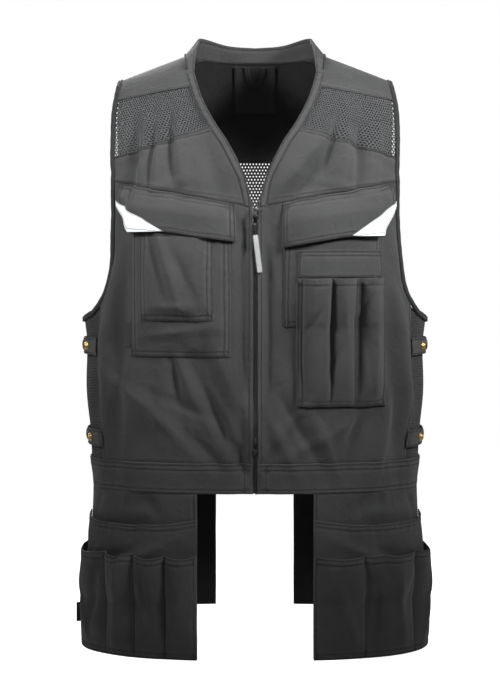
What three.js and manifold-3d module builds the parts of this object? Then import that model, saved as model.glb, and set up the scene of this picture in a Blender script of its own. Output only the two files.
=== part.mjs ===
// A utility work vest with hanging holster pockets, in the form it has on an upright body.
// Millimetres, +Z up. The front faces -Y, and the wearer's left side is +X.
// The origin lies midway between the two side neck points, where the vest sits on the shoulders.

import * as THREE from "three";
import { mergeVertices } from "three/addons/utils/BufferGeometryUtils.js";
import Module from "manifold-3d";

const wasm = await Module();
wasm.setup();

// Driving sizes of the garment
const CHEST_WIDTH = 452;
const CHEST_DEPTH = 255;
const NECK_TO_HEM = 567;
const NECK_WIDTH = 170;
const SHOULDER_WIDTH = 366;
const SHOULDER_DROP = 37;
const SHOULDER_ROUNDING = 30;
const RIDGE_BEHIND_CENTRE = 8;
const CHEST_LINE = 200;
const V_DEPTH = 204;
const ARMHOLE_DEPTH = 335;
const UNDERARM_DIP = 10;
const BACK_NECK_DROP = 0.446;
const WAISTBAND_HEIGHT = 39;
const FRONT_EDGE = 5;
const SIDE_SEAM_SHARE = 0.89;
const ROUNDNESS = 2.4;

// Cloth, tape and the clearances between layers and along seams
const CLOTH = 1.4;
const NET = 1.2;
const DOUBLE_CLOTH = 2.6;
const LABEL_CLOTH = 0.8;
const SEAM_GAP = 0.4;
const LAYER_GAP = 0.9;
const BINDING_WIDTH = 7;
const BINDING_THICKNESS = 3.6;
const BAND_WIDTH = 10;
const COLLAR_HEIGHT = 22;
const COLLAR_CLEARANCE = 2.2;
const COLLAR_START = 30;
const COLLAR_RIDGE = 0.62;
const SHOULDER_SEAM_BEHIND = 0.25;

// Seams across the fronts and the back, as depths below the side neck point
const CHEST_SEAM = { inner: 204, outer: 170 };
const NET_SEAM = { inner: 84, outer: 139 };
const YOKE_SEAM = { inner: 36, outer: 65 };
const BACK_NET_TOP = 137;
const BACK_NET_BOTTOM = 322;

// Pockets on the fronts
const FLAP_STAND = 15;
const POCKET_DEPTH = 10;
const PHONE_DEPTH = 8;
const TOOL_DEPTH = 12;
const REFLECTOR_EDGE = 9;
const RIGHT_FLAP = { inner: -26, outer: -177, innerDrop: 248, middleDrop: 235, outerDrop: 203 };
const LEFT_FLAP = { inner: 35, outer: 179, innerDrop: 255, middleDrop: 240, outerDrop: 204 };
const CHEST_POCKET = { inner: -31.5, outer: -158, top: 214, bottom: 393 };
const PHONE_POCKET = { inner: -51, outer: -143, top: 226, bottom: 347 };
const PATCH_POCKET = { inner: 37, outer: 160, top: 214, bottom: 355 };
const TOOL_BAND = { inner: 55, outer: 160, top: 258, bottom: 292 };
const TOOL_POCKET = { inner: 54, outer: 163, top: 293, bottom: 456 };
const POCKET_LABEL = { width: 8, top: 349, bottom: 382 };

// Side straps and their press studs
const STRAP_HEIGHT = 22;
const STRAP_DEPTHS = [382, 501];
const STRAP_UNDERLAP = 2;
const STUD_TURN = 74;
const STUD_DIAMETER = 12;
const STUD_HEIGHT = 4.5;
const CAP_TURN = 90;
const CAP_DIAMETER = 15;
const CAP_HEIGHT = 3;

// Holsters that hang from the waistband
const HOLSTER_LENGTH = 213;
const HOLSTER_INNER = 74;
const HOLSTER_OUTER_TURN = 86;
const HOLSTER_UPPER_MOUTH = 36;
const HOLSTER_LOWER_MOUTH = 80;
const HOLSTER_POCKET_DEPTH = 11;
const REAR_HOLSTER_LENGTH = 183;
const REAR_HOLSTER_INNER = 54;
const REAR_HOLSTER_OUTER = 190;
const REAR_HOLSTER_DEPTH = 16;
const HOLSTER_LABEL = { width: 9, height: 26, slant: 1, down: 170 };

// Inside of the back neck
const NECK_LABEL_WIDTH = 56;
const NECK_LABEL_TOP = 8;
const NECK_LABEL_BOTTOM = 70;
const HANGER_SPREAD = 30;
const HANGER_DROP = 27;
const HANGER_WIDTH = 7;

// Zip
const TAPE_HALF = 13;
const CHAIN_HALF = 3;
const CHAIN_PROUD = 1;
const SLIDER_WIDTH = 9;
const SLIDER_HEIGHT = 17;
const SLIDER_THICKNESS = 2.4;
const TOP_SLIDER_DEPTH = 213;
const BOTTOM_SLIDER_DEPTH = 499;
const ARCH_WIDTH = 2.2;
const ARCH_WALL = 1.4;
const TUNNEL_HEIGHT = 2.8;
const TUNNEL_LENGTH = 6;
const PULL_BAR = 1.4;
const PULL_WIDTH = 7.4;
const PULL_LENGTH = 24;
const BOTTOM_PULL_LENGTH = 17;
const STRIP_WIDTH = 7.4;
const STRIP_LENGTH = 48;
const STRIP_THICKNESS = 1.6;
const STRIP_TILT = 7;

// Sections of the body, from the chest line down to the holsters' hems:
// down as a share of NECK_TO_HEM, wide of half CHEST_WIDTH, front and back of CHEST_DEPTH
const SECTIONS = [
  { down: 0.353, wide: 0.978, front: 0.525, back: 0.463 },
  { down: 0.494, wide: 0.991, front: 0.537, back: 0.455 },
  { down: 0.608, wide: 1.0, front: 0.533, back: 0.439 },
  { down: 0.672, wide: 0.985, front: 0.525, back: 0.431 },
  { down: 0.776, wide: 0.991, front: 0.518, back: 0.424 },
  { down: 0.882, wide: 0.965, front: 0.514, back: 0.427 },
  { down: 0.935, wide: 0.96, front: 0.51, back: 0.435 },
  { down: 1.0, wide: 0.942, front: 0.51, back: 0.443 },
  { down: 1.14, wide: 0.96, front: 0.5, back: 0.447 },
  { down: 1.38, wide: 0.995, front: 0.5, back: 0.45 },
];

// Edge of the V neck: down as a share of V_DEPTH, out of half NECK_WIDTH
const V_EDGE = [
  { down: 0.0, out: 0.995 },
  { down: 0.13, out: 0.93 },
  { down: 0.285, out: 0.82 },
  { down: 0.387, out: 0.71 },
  { down: 0.485, out: 0.575 },
  { down: 0.583, out: 0.42 },
  { down: 0.706, out: 0.265 },
  { down: 0.82, out: 0.145 },
  { down: 1.0, out: 0.04 },
];

// Edge of the armhole on front and back: down as a share of ARMHOLE_DEPTH, out of half SHOULDER_WIDTH
const ARMHOLE_EDGE = [
  { down: 0.11, out: 0.985 },
  { down: 0.24, out: 1.012 },
  { down: 0.39, out: 1.012 },
  { down: 0.6, out: 1.008 },
  { down: 0.72, out: 1.02 },
  { down: 0.865, out: 1.045 },
  { down: 0.925, out: 1.075 },
  { down: 0.96, out: 1.11 },
  { down: 1.0, out: 1.16 },
];

// How the collar stands up round the neck, from the centre back to its front ends:
// lean as a share of BAND_WIDTH towards the neck, rise as a share of COLLAR_HEIGHT
const COLLAR_STAND = [
  { round: 0.0, lean: 0.2, rise: 0.96 },
  { round: 0.15, lean: 0.4, rise: 1.06 },
  { round: 0.3, lean: 0.95, rise: 1.2 },
  { round: 0.45, lean: 1.6, rise: 1.2 },
  { round: 0.62, lean: 2.1, rise: 1.08 },
  { round: 0.82, lean: 1.6, rise: 0.6 },
  { round: 1.0, lean: 1.0, rise: 0.06 },
];

// Soft folds of the cloth: across as a share of half CHEST_WIDTH, down of NECK_TO_HEM,
// long and wide of CHEST_WIDTH, lean in degrees from upright, stand as a share of CHEST_DEPTH
const FOLDS = [
  { face: -1, across: -0.78, down: 0.4, long: 0.22, wide: 0.05, lean: 12, stand: -0.01 },
  { face: -1, across: -0.72, down: 0.76, long: 0.16, wide: 0.05, lean: -38, stand: 0.009 },
  { face: -1, across: -0.3, down: 0.83, long: 0.18, wide: 0.06, lean: -20, stand: -0.008 },
  { face: -1, across: -0.18, down: 0.55, long: 0.24, wide: 0.06, lean: 4, stand: 0.007 },
  { face: -1, across: 0.12, down: 0.7, long: 0.26, wide: 0.05, lean: -5, stand: -0.008 },
  { face: -1, across: 0.42, down: 0.86, long: 0.16, wide: 0.06, lean: 25, stand: 0.008 },
  { face: -1, across: 0.8, down: 0.66, long: 0.2, wide: 0.05, lean: 8, stand: 0.009 },
  { face: -1, across: 0.78, down: 0.42, long: 0.2, wide: 0.05, lean: -14, stand: -0.01 },
  { face: -1, across: -0.55, down: 0.28, long: 0.16, wide: 0.06, lean: 50, stand: 0.008 },
  { face: -1, across: 0.55, down: 0.27, long: 0.16, wide: 0.06, lean: -50, stand: 0.008 },
  { face: 1, across: -0.45, down: 0.74, long: 0.24, wide: 0.06, lean: 10, stand: 0.01 },
  { face: 1, across: 0.1, down: 0.68, long: 0.26, wide: 0.06, lean: -6, stand: -0.009 },
  { face: 1, across: 0.52, down: 0.78, long: 0.22, wide: 0.06, lean: -12, stand: 0.01 },
];

// Tubes of the tool pocket: from and to as shares of its width
const TOOL_TUBES = [
  { from: 0.06, to: 0.36 },
  { from: 0.38, to: 0.64 },
  { from: 0.7, to: 0.97 },
];

// Compartments of the lower holster pockets, as shares of their girth from the inner edge
const RIGHT_COMPARTMENTS = [
  { from: 0.0, to: 0.155 },
  { from: 0.155, to: 0.338 },
  { from: 0.338, to: 0.555 },
  { from: 0.555, to: 1.0 },
];
const LEFT_COMPARTMENTS = [
  { from: 0.0, to: 0.27 },
  { from: 0.27, to: 0.66 },
  { from: 0.66, to: 1.0 },
];

const FINISHES = {
  canvas: new THREE.MeshStandardMaterial({ color: 0x393c3e, roughness: 0.9 }),
  black: new THREE.MeshStandardMaterial({ color: 0x17181a, roughness: 0.9 }),
  net: new THREE.MeshStandardMaterial({ color: 0x4a4e50, roughness: 0.85 }),
  tape: new THREE.MeshStandardMaterial({ color: 0x26282a, roughness: 0.85 }),
  reflective: new THREE.MeshStandardMaterial({ color: 0xdfe2e4, roughness: 0.45 }),
  brass: new THREE.MeshStandardMaterial({ color: 0xb08a45, roughness: 0.35, metalness: 1 }),
  darkMetal: new THREE.MeshStandardMaterial({ color: 0x202224, roughness: 0.4, metalness: 0.8 }),
};

const vest = new THREE.Group();
const { clamp, degToRad, lerp } = THREE.MathUtils;
const halfChest = CHEST_WIDTH / 2;
const halfShoulder = SHOULDER_WIDTH / 2;
const halfNeck = NECK_WIDTH / 2;

function add(name, geometry, finish) {
  const mesh = new THREE.Mesh(geometry, FINISHES[finish]);
  mesh.name = name;
  vest.add(mesh);
  return mesh;
}

// A named column of a table as a smooth curve of another, going on straight past its ends.
function follow(rows, key, value, at) {
  const slope = (i) => {
    const low = rows[Math.max(i - 1, 0)];
    const high = rows[Math.min(i + 1, rows.length - 1)];
    return (high[value] - low[value]) / (high[key] - low[key]);
  };
  const last = rows.length - 1;
  if (at <= rows[0][key]) return rows[0][value] + slope(0) * (at - rows[0][key]);
  if (at >= rows[last][key]) return rows[last][value] + slope(last) * (at - rows[last][key]);
  const i = rows.findIndex((row) => row[key] > at) - 1;
  const span = rows[i + 1][key] - rows[i][key];
  const t = (at - rows[i][key]) / span;
  const rising = t * t * (3 - 2 * t);
  const leaving = t * (1 - t) * (1 - t) * slope(i);
  const arriving = t * t * (1 - t) * slope(i + 1);
  return lerp(rows[i][value], rows[i + 1][value], rising) + span * (leaving - arriving);
}

// The body's section at a height: half its width, and its depth in front and behind.
function section(z) {
  const down = -z / NECK_TO_HEM;
  return {
    wide: halfChest * follow(SECTIONS, "down", "wide", down),
    front: CHEST_DEPTH * follow(SECTIONS, "down", "front", down),
    back: CHEST_DEPTH * follow(SECTIONS, "down", "back", down),
  };
}

const shoulderSlope =
  SHOULDER_DROP /
  (Math.hypot(halfShoulder, SHOULDER_ROUNDING) - Math.hypot(halfNeck, SHOULDER_ROUNDING));

// Height of the shoulder's ridge, which passes through zero at the side neck points.
function ridge(x) {
  return shoulderSlope * (Math.hypot(halfNeck, SHOULDER_ROUNDING) - Math.hypot(x, SHOULDER_ROUNDING));
}

// A point pushed in or out by the folds that run through it.
function folded(point) {
  let stand = 0;
  for (const fold of FOLDS) {
    if (fold.face * point.y < 0) continue;
    const across = point.x - fold.across * halfChest;
    const up = point.z + fold.down * NECK_TO_HEM;
    const angle = degToRad(fold.lean);
    const along = (up * Math.cos(angle) + across * Math.sin(angle)) / (fold.long * CHEST_WIDTH);
    const aside = (across * Math.cos(angle) - up * Math.sin(angle)) / (fold.wide * CHEST_WIDTH);
    const share = Math.min(1, Math.abs(point.y) / (CHEST_DEPTH / 8));
    stand += share * fold.stand * CHEST_DEPTH * Math.exp(-along * along - aside * aside);
  }
  const reach = Math.hypot(point.x, point.y);
  point.x += (stand * point.x) / reach;
  point.y += (stand * point.y) / reach;
  return point;
}

// A point of the torso: turn goes round from the centre front, positive to the wearer's left.
function torso(turn, z) {
  const { wide, front, back } = section(z);
  const s = Math.sin(turn);
  const c = Math.cos(turn);
  const x = wide * Math.sign(s) * Math.abs(s) ** (2 / ROUNDNESS);
  const y = (c > 0 ? -front : back) * Math.abs(c) ** (2 / ROUNDNESS);
  return folded(new THREE.Vector3(x, y, z));
}

// A point of the shoulders: climb is 0 at the chest line in front, half a turn at the one behind,
// and beyond them it runs on down the torso.
function shoulders(x, climb) {
  const above = clamp(climb, 0, Math.PI);
  const below = climb < 0 ? -climb : Math.max(climb - Math.PI, 0);
  const z = -CHEST_LINE - below * CHEST_LINE;
  const { wide, front, back } = section(z);
  const share = (1 - Math.min(1, Math.abs(x) / wide) ** ROUNDNESS) ** (1 / ROUNDNESS);
  const depth = climb < Math.PI / 2 ? -front * share : back * share;
  const y = RIDGE_BEHIND_CENTRE + (depth - RIDGE_BEHIND_CENTRE) * Math.abs(Math.cos(above));
  return folded(new THREE.Vector3(x, y, z + (ridge(x) + CHEST_LINE) * Math.sin(above)));
}

function heightAt(x, climb) {
  return climb < 0 ? -CHEST_LINE * (1 - climb) : -CHEST_LINE + (ridge(x) + CHEST_LINE) * Math.sin(climb);
}

function climbAt(x, z) {
  if (z <= -CHEST_LINE) return (z + CHEST_LINE) / CHEST_LINE;
  return Math.asin(Math.min(1, (z + CHEST_LINE) / (ridge(x) + CHEST_LINE)));
}

// A point of a surface of two parameters, with the surface's direction outwards there.
function standing(surface, a, b, stepA, stepB) {
  const alongA = surface(a + stepA, b).sub(surface(a - stepA, b));
  const alongB = surface(a, b + stepB).sub(surface(a, b - stepB));
  return { point: surface(a, b), normal: alongA.cross(alongB).normalize() };
}

const SMALL_LENGTH = 0.05;
const SMALL_ANGLE = 0.001;
const onTorso = (turn, z) => standing(torso, turn, z, SMALL_ANGLE, SMALL_LENGTH);
const onShoulders = (x, climb) => standing(shoulders, x, climb, SMALL_LENGTH, SMALL_ANGLE);
const onFront = (x, z) => onShoulders(x, climbAt(x, z));
const onBack = (x, z) => onShoulders(x, Math.PI - climbAt(x, z));

function turnAt(x, z) {
  return Math.sign(x) * Math.asin(Math.min(1, Math.abs(x) / section(z).wide) ** (ROUNDNESS / 2));
}

// A closed geometry from points and faces, turned so that its faces point out.
function closed(points, faces) {
  const volume = faces.reduce((sum, [a, b, c]) => {
    return sum + points[a].dot(new THREE.Vector3().crossVectors(points[b], points[c]));
  }, 0);
  const order = volume < 0 ? faces.map(([a, b, c]) => [a, c, b]) : faces;
  const geometry = new THREE.BufferGeometry().setFromPoints(points);
  geometry.setIndex(order.flat());
  geometry.computeVertexNormals();
  return geometry;
}

// How full a tube or a pouch is across its width, between its seams.
const bulge = (share) => Math.sin(Math.PI * share) ** 0.7;

const shares = (count) => Array.from({ length: count + 1 }, (_, i) => i / count);

// A closed wall between two grids of points, one for each of its faces.
function wall(across, down, nearAt, farAt) {
  const near = down.flatMap((v) => across.map((u) => nearAt(u, v)));
  const far = down.flatMap((v) => across.map((u) => farAt(u, v)));
  const wide = across.length;
  const tall = down.length;
  const back = near.length;
  const faces = [];
  const quad = (a, b, c, d) => faces.push([a, b, c], [a, c, d]);
  for (let j = 0; j + 1 < tall; j++) {
    for (let i = 0; i + 1 < wide; i++) {
      const k = j * wide + i;
      quad(k, k + 1, k + wide + 1, k + wide);
      quad(back + k, back + k + wide, back + k + wide + 1, back + k + 1);
    }
    const left = j * wide;
    const right = left + wide - 1;
    quad(left, left + wide, back + left + wide, back + left);
    quad(right, back + right, back + right + wide, right + wide);
  }
  const foot = (tall - 1) * wide;
  for (let i = 0; i + 1 < wide; i++) {
    quad(i, back + i, back + i + 1, i + 1);
    quad(foot + i, foot + i + 1, back + foot + i + 1, back + foot + i);
  }
  return closed([...near, ...far], faces);
}

// A sheet of cloth: a grid of shares over a surface, from one distance off it to a thickness more.
function sheet(at, columns, rows, inner = 0, thick = CLOTH) {
  const across = Array.isArray(columns) ? columns : shares(columns);
  const down = Array.isArray(rows) ? rows : shares(rows);
  const value = (input, u, v) => (typeof input === "function" ? input(u, v) : input);
  const off = (u, v, distance) => {
    const { point, normal } = at(u, v);
    return point.addScaledVector(normal, distance);
  };
  const nearAt = (u, v) => off(u, v, value(inner, u, v));
  const farAt = (u, v) => off(u, v, value(inner, u, v) + value(thick, u, v));
  return wall(across, down, nearAt, farAt);
}

// A closed ring along a path of points with normals: its section's points are given as the
// distance sideways from the path, away from the ring's middle, and the distance outwards.
function ring(path, sectionPoints) {
  const middle = path.reduce((sum, { point }) => sum.add(point), new THREE.Vector3());
  middle.divideScalar(path.length);
  const count = path.length;
  const points = path.flatMap(({ point, normal }, i) => {
    const along = path[(i + 1) % count].point.clone().sub(path[(i + count - 1) % count].point);
    const sideways = new THREE.Vector3().crossVectors(normal, along).normalize();
    if (sideways.dot(point.clone().sub(middle)) < 0) sideways.negate();
    return sectionPoints.map(([aside, out]) => {
      return point.clone().addScaledVector(sideways, aside).addScaledVector(normal, out);
    });
  });
  const sides = sectionPoints.length;
  const faces = [];
  for (let i = 0; i < count; i++) {
    for (let k = 0; k < sides; k++) {
      const here = i * sides;
      const next = ((i + 1) % count) * sides;
      const other = (k + 1) % sides;
      faces.push([here + k, here + other, next + other], [here + k, next + other, next + k]);
    }
  }
  return closed(points, faces);
}

function toSolid(geometry) {
  const plain = geometry.clone();
  plain.deleteAttribute("normal");
  plain.deleteAttribute("uv");
  const merged = mergeVertices(plain, 1e-4);
  return new wasm.Manifold(
    new wasm.Mesh({
      numProp: 3,
      vertProperties: merged.attributes.position.array,
      triVerts: new Uint32Array(merged.index.array),
    }),
  );
}

function toGeometry(solid) {
  const mesh = solid.getMesh();
  const geometry = new THREE.BufferGeometry();
  geometry.setAttribute("position", new THREE.BufferAttribute(mesh.vertProperties, 3));
  geometry.setIndex(new THREE.BufferAttribute(mesh.triVerts, 1));
  geometry.computeVertexNormals();
  return geometry;
}

const cut = (geometry, tools) => {
  return toGeometry(tools.reduce((solid, tool) => solid.subtract(toSolid(tool)), toSolid(geometry)));
};

const joined = (pieces) => {
  return toGeometry(pieces.map(toSolid).reduce((solid, piece) => solid.add(piece)));
};

// An outline of x and z, given a thickness from one y to another.
function plate(outline, holes, nearY, farY) {
  const loop = (points, clockwise) => {
    const turned = points.map(([x, z]) => new THREE.Vector2(x, z));
    return THREE.ShapeUtils.isClockWise(turned) === clockwise ? turned : turned.reverse();
  };
  const shape = new THREE.Shape(loop(outline, false));
  shape.holes = holes.map((hole) => new THREE.Path(loop(hole, true)));
  const geometry = new THREE.ExtrudeGeometry(shape, { depth: farY - nearY, bevelEnabled: false });
  return geometry.rotateX(Math.PI / 2).translate(0, farY, 0);
}

// The neck and armhole edges as distances from the centre plane. An inset moves them sideways.
function neckEdge(z, inset = 0) {
  const x = (depth) => halfNeck * follow(V_EDGE, "down", "out", depth / V_DEPTH);
  const slope = (x(1 - z) - x(-1 - z)) / 2;
  return Math.max(x(-z), FRONT_EDGE) + inset * Math.hypot(1, slope);
}

function armholeEdge(z) {
  return halfShoulder * follow(ARMHOLE_EDGE, "down", "out", -z / ARMHOLE_DEPTH);
}

const sideSeam = (z) => SIDE_SEAM_SHARE * section(z).wide;

// The same edges where they are followed by climb, over the ridge and down the other side.
const settle = (start, next) => [1, 2, 3, 4].reduce(next, start);
const neckHalfAtRidge = settle(halfNeck, (x) => neckEdge(ridge(x)));
const NECK_CURVE = 1.4;
const NECK_ARC = 150;

function neckAt(climb, inset) {
  const behind = climb - Math.PI / 2;
  if (behind <= 0) return settle(halfNeck, (x) => neckEdge(heightAt(x, climb), inset));
  const share = Math.min(1, behind / (BACK_NECK_DROP + inset / NECK_ARC));
  return (neckHalfAtRidge + inset) * Math.sqrt(Math.max(0, 1 - share ** (2 / NECK_CURVE)));
}

function neckClimb(x, inset) {
  const share = Math.min(1, Math.abs(x) / (neckHalfAtRidge + inset));
  return Math.PI / 2 + (BACK_NECK_DROP + inset / NECK_ARC) * (1 - share * share) ** (NECK_CURVE / 2);
}

function armholeAt(climb) {
  const front = Math.min(climb, Math.PI - climb);
  return settle(halfShoulder, (x) => armholeEdge(heightAt(x, front)));
}

// A seam line across one front: its height at a distance from the centre plane.
function seamLine({ inner, outer }) {
  return (x) => -lerp(inner, outer, (x - FRONT_EDGE) / (halfShoulder - FRONT_EDGE));
}

// A patch of the front between two seam lines and two edges. side is 1 for the wearer's left.
function frontPatch(side, upper, lower, innerEdge, outerEdge) {
  return (u, v) => {
    const height = (x) => lerp(upper(x) - SEAM_GAP / 2, lower(x) + SEAM_GAP / 2, v);
    const low = settle(halfNeck, (x) => innerEdge(height(x)));
    const high = settle(halfShoulder, (x) => outerEdge(height(x)));
    const x = lerp(low, high, u);
    return onFront(side * x, height(x));
  };
}

const insideBinding = BINDING_WIDTH / 2;
const armholeCloth = (z) => armholeEdge(z) - insideBinding;
const neckCloth = (z) => neckEdge(z, BAND_WIDTH + SEAM_GAP);
const seamCloth = (z) => Math.min(armholeCloth(z), sideSeam(z) - SEAM_GAP / 2);

const chestSeam = seamLine(CHEST_SEAM);
const netSeam = seamLine(NET_SEAM);
const yokeSeam = seamLine(YOKE_SEAM);
const waistTop = () => -NECK_TO_HEM + WAISTBAND_HEIGHT;

// The armhole's outline in even steps: over the shoulder from front to back, then under the arm.
function armholePath(side, steps = 38, fine = 120) {
  const lowClimb = -(ARMHOLE_DEPTH - CHEST_LINE) / CHEST_LINE;
  const cornerTurn = turnAt(armholeEdge(-ARMHOLE_DEPTH), -ARMHOLE_DEPTH);
  const over = shares(fine).map((share) => {
    const climb = lerp(lowClimb, Math.PI - lowClimb, share);
    return onShoulders(side * armholeAt(climb), climb);
  });
  const under = shares(fine / 3).slice(1, -1).map((share) => {
    const turn = lerp(Math.PI - cornerTurn, cornerTurn, share);
    const z = -ARMHOLE_DEPTH - UNDERARM_DIP * Math.sin(Math.PI * share);
    return onTorso(side * turn, z);
  });
  const whole = [...over, ...under];
  const lengths = whole.map(({ point }, i) => point.distanceTo(whole[(i + 1) % whole.length].point));
  const step = lengths.reduce((sum, length) => sum + length) / steps;
  let run = 0;
  return whole.filter((_, i) => {
    const before = Math.floor(run / step);
    run += lengths[i];
    return i === 0 || Math.floor(run / step) > before;
  });
}

// What a panel keeps clear of: the binding, grown by the seam's gap.
const armholeTools = [-1, 1].map((side) => {
  const far = BINDING_WIDTH + 2 * SEAM_GAP;
  return ring(armholePath(side), [[-insideBinding, -far], [far, -far], [far, far], [-insideBinding, far]]);
});

const SIDES = [
  { side: -1, word: "right" },
  { side: 1, word: "left" },
];

// Upper fronts: chest panels, mesh insets and the yokes over the shoulders
for (const { side, word } of SIDES) {
  const chest = frontPatch(side, netSeam, chestSeam, neckCloth, armholeCloth);
  add("chest_panel_" + word, cut(sheet(chest, 9, 4), armholeTools), "canvas");
  const net = frontPatch(side, yokeSeam, netSeam, neckCloth, armholeCloth);
  add("shoulder_mesh_" + word, cut(sheet(net, 8, 3, 0, NET), armholeTools), "net");

  const yoke = (u, v) => {
    const seam = (x) => climbAt(x, yokeSeam(x) + SEAM_GAP / 2);
    const back = Math.PI / 2 + SHOULDER_SEAM_BEHIND;
    const edge = BAND_WIDTH + COLLAR_CLEARANCE;
    const x = settle(halfNeck, (guess) => {
      const climb = lerp(seam(guess), back, v);
      return lerp(neckAt(climb, edge), armholeAt(climb) - insideBinding, u);
    });
    return onShoulders(side * x, lerp(seam(x), back, v));
  };
  add("shoulder_yoke_" + word, cut(sheet(yoke, 7, 5), armholeTools), "canvas");

  const band = frontPatch(
    side,
    () => -COLLAR_START,
    chestSeam,
    (z) => neckEdge(z),
    (z) => neckEdge(z, BAND_WIDTH),
  );
  add("neck_band_" + word, sheet(band, 1, 12, -SEAM_GAP, DOUBLE_CLOTH), "canvas");

  const binding = ring(armholePath(side), [
    [0, -1],
    [BINDING_WIDTH, -0.6],
    [BINDING_WIDTH, BINDING_THICKNESS - 1.4],
    [0, BINDING_THICKNESS - 1],
  ]);
  add("armhole_binding_" + word, binding, "tape");
}

// Back yoke, mesh inset and lower back
{
  const seamClimb = Math.PI / 2 + SHOULDER_SEAM_BEHIND + (2 * SEAM_GAP) / NECK_ARC;
  const neckInset = BAND_WIDTH + COLLAR_CLEARANCE;
  const cornerX = neckAt(seamClimb, neckInset);
  const topClimb = (x) => (Math.abs(x) < cornerX ? neckClimb(x, neckInset) : seamClimb);
  const netTop = (x) => Math.PI - climbAt(x, -BACK_NET_TOP + SEAM_GAP / 2);
  const yoke = (u, v) => {
    const x = settle(u * halfShoulder, (guess) => {
      return u * (armholeAt(lerp(topClimb(guess), netTop(guess), v)) - insideBinding);
    });
    return onShoulders(x, lerp(topClimb(x), netTop(x), v));
  };
  const corner = cornerX / (armholeAt(seamClimb) - insideBinding);
  const outer = [1, 0.75, 0.5, 0.25].map((share) => lerp(corner, 1, share));
  const inner = shares(8).map((share) => -corner * Math.cos(Math.PI * share));
  const columns = [...outer.map((u) => -u), ...inner, ...outer.reverse()];
  add("back_yoke", cut(sheet(yoke, columns, 6), armholeTools), "black");

  const backPatch = (upper, lower) => (u, v) => {
    const z = lerp(upper - SEAM_GAP / 2, lower + SEAM_GAP / 2, v);
    return onBack((2 * u - 1) * seamCloth(z), z);
  };
  const net = backPatch(-BACK_NET_TOP, -BACK_NET_BOTTOM);
  add("back_mesh", cut(sheet(net, 12, 5, 0, NET), armholeTools), "net");
  const lower = backPatch(-BACK_NET_BOTTOM, waistTop());
  add("back_panel", cut(sheet(lower, 14, 6), armholeTools), "canvas");
}

// Where the side seam runs up into the armhole's edge.
const seamTop = settle(-ARMHOLE_DEPTH, (z) => {
  const slope = armholeEdge(z) - armholeEdge(z - 1) - (sideSeam(z) - sideSeam(z - 1));
  return z - (armholeEdge(z) - sideSeam(z)) / slope;
});

// Lower fronts, side mesh panels and the waistband
for (const { side, word } of SIDES) {
  const front = frontPatch(side, chestSeam, waistTop, () => FRONT_EDGE, seamCloth);
  add("front_panel_" + word, cut(sheet(front, 10, 8), armholeTools), "canvas");

  const net = (u, v) => {
    const dip = (seamTop + ARMHOLE_DEPTH + UNDERARM_DIP) * Math.sin(Math.PI * u) ** 0.6;
    const z = lerp(seamTop - dip - insideBinding, waistTop() + SEAM_GAP / 2, v);
    const first = turnAt(sideSeam(z) + SEAM_GAP, z);
    return onTorso(side * lerp(first, Math.PI - first, u), z);
  };
  add("side_mesh_" + word, cut(sheet(net, 7, 6, 0, NET), armholeTools), "net");

  const waist = (first, last) => (u, v) => {
    const z = lerp(waistTop() - SEAM_GAP / 2, -NECK_TO_HEM, v);
    return onTorso(side * lerp(first(z), last(z), u), z);
  };
  const toSide = (z) => Math.PI / 2 - SEAM_GAP / section(z).wide;
  const frontBand = waist((z) => turnAt(FRONT_EDGE, z), toSide);
  add("waistband_front_" + word, sheet(frontBand, 12, 1, -SEAM_GAP, DOUBLE_CLOTH), "canvas");
}
{
  const band = (u, v) => {
    const z = lerp(waistTop() - SEAM_GAP / 2, -NECK_TO_HEM, v);
    return onTorso(lerp(Math.PI / 2, (3 * Math.PI) / 2, u), z);
  };
  add("waistband_back", sheet(band, 20, 1, -SEAM_GAP, DOUBLE_CLOTH), "canvas");
}

// Collar, the bare label inside the back neck and the hanger loop
{
  const collarClimb = climbAt(neckEdge(-COLLAR_START, BAND_WIDTH), -COLLAR_START + SEAM_GAP);
  const foot = (round) => {
    const far = Math.abs(round);
    if (far < COLLAR_RIDGE) {
      const x = (neckHalfAtRidge + BAND_WIDTH) * Math.sin(((far / COLLAR_RIDGE) * Math.PI) / 2);
      return shoulders(Math.sign(round) * x, neckClimb(x, BAND_WIDTH));
    }
    const climb = lerp(Math.PI / 2, collarClimb, (far - COLLAR_RIDGE) / (1 - COLLAR_RIDGE));
    return shoulders(Math.sign(round) * neckAt(climb, BAND_WIDTH), climb);
  };
  const stand = (round, v) => {
    const far = Math.abs(round);
    const lean = BAND_WIDTH * follow(COLLAR_STAND, "round", "lean", far);
    const rise = COLLAR_HEIGHT * follow(COLLAR_STAND, "round", "rise", far);
    const swing = (Math.PI / 2) * Math.max(0, 1 - far / COLLAR_RIDGE);
    const inward = new THREE.Vector3(-Math.sign(round) * Math.cos(swing), -Math.sin(swing), 0);
    return foot(round).addScaledVector(inward, lean * v).add(new THREE.Vector3(0, 0, rise * v));
  };
  const onCollar = (round, v) => standing(stand, round, v, SMALL_ANGLE, SMALL_ANGLE);
  const collar = (u, v) => onCollar(2 * u - 1, v);
  add("collar", sheet(collar, 27, 2, -DOUBLE_CLOTH / 2, DOUBLE_CLOTH), "canvas");

  const label = (u, v) => {
    return onBack(lerp(-0.5, 0.5, u) * NECK_LABEL_WIDTH, -lerp(NECK_LABEL_TOP, NECK_LABEL_BOTTOM, v));
  };
  const labelInner = -2 * LAYER_GAP - LABEL_CLOTH;
  add("neck_label", sheet(label, 5, 5, labelInner, LABEL_CLOTH), "black");

  const loop = (u, v) => {
    const angle = Math.PI * (1 - u);
    const reach = HANGER_SPREAD / 2 - lerp(0, HANGER_WIDTH, v);
    const drop = HANGER_DROP - lerp(0, HANGER_WIDTH, v);
    return onBack(reach * Math.cos(angle), -NECK_LABEL_TOP - drop * Math.sin(angle));
  };
  add("hanger_loop", sheet(loop, 10, 1, labelInner - LAYER_GAP - LABEL_CLOTH, LABEL_CLOTH), "tape");
}

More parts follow.
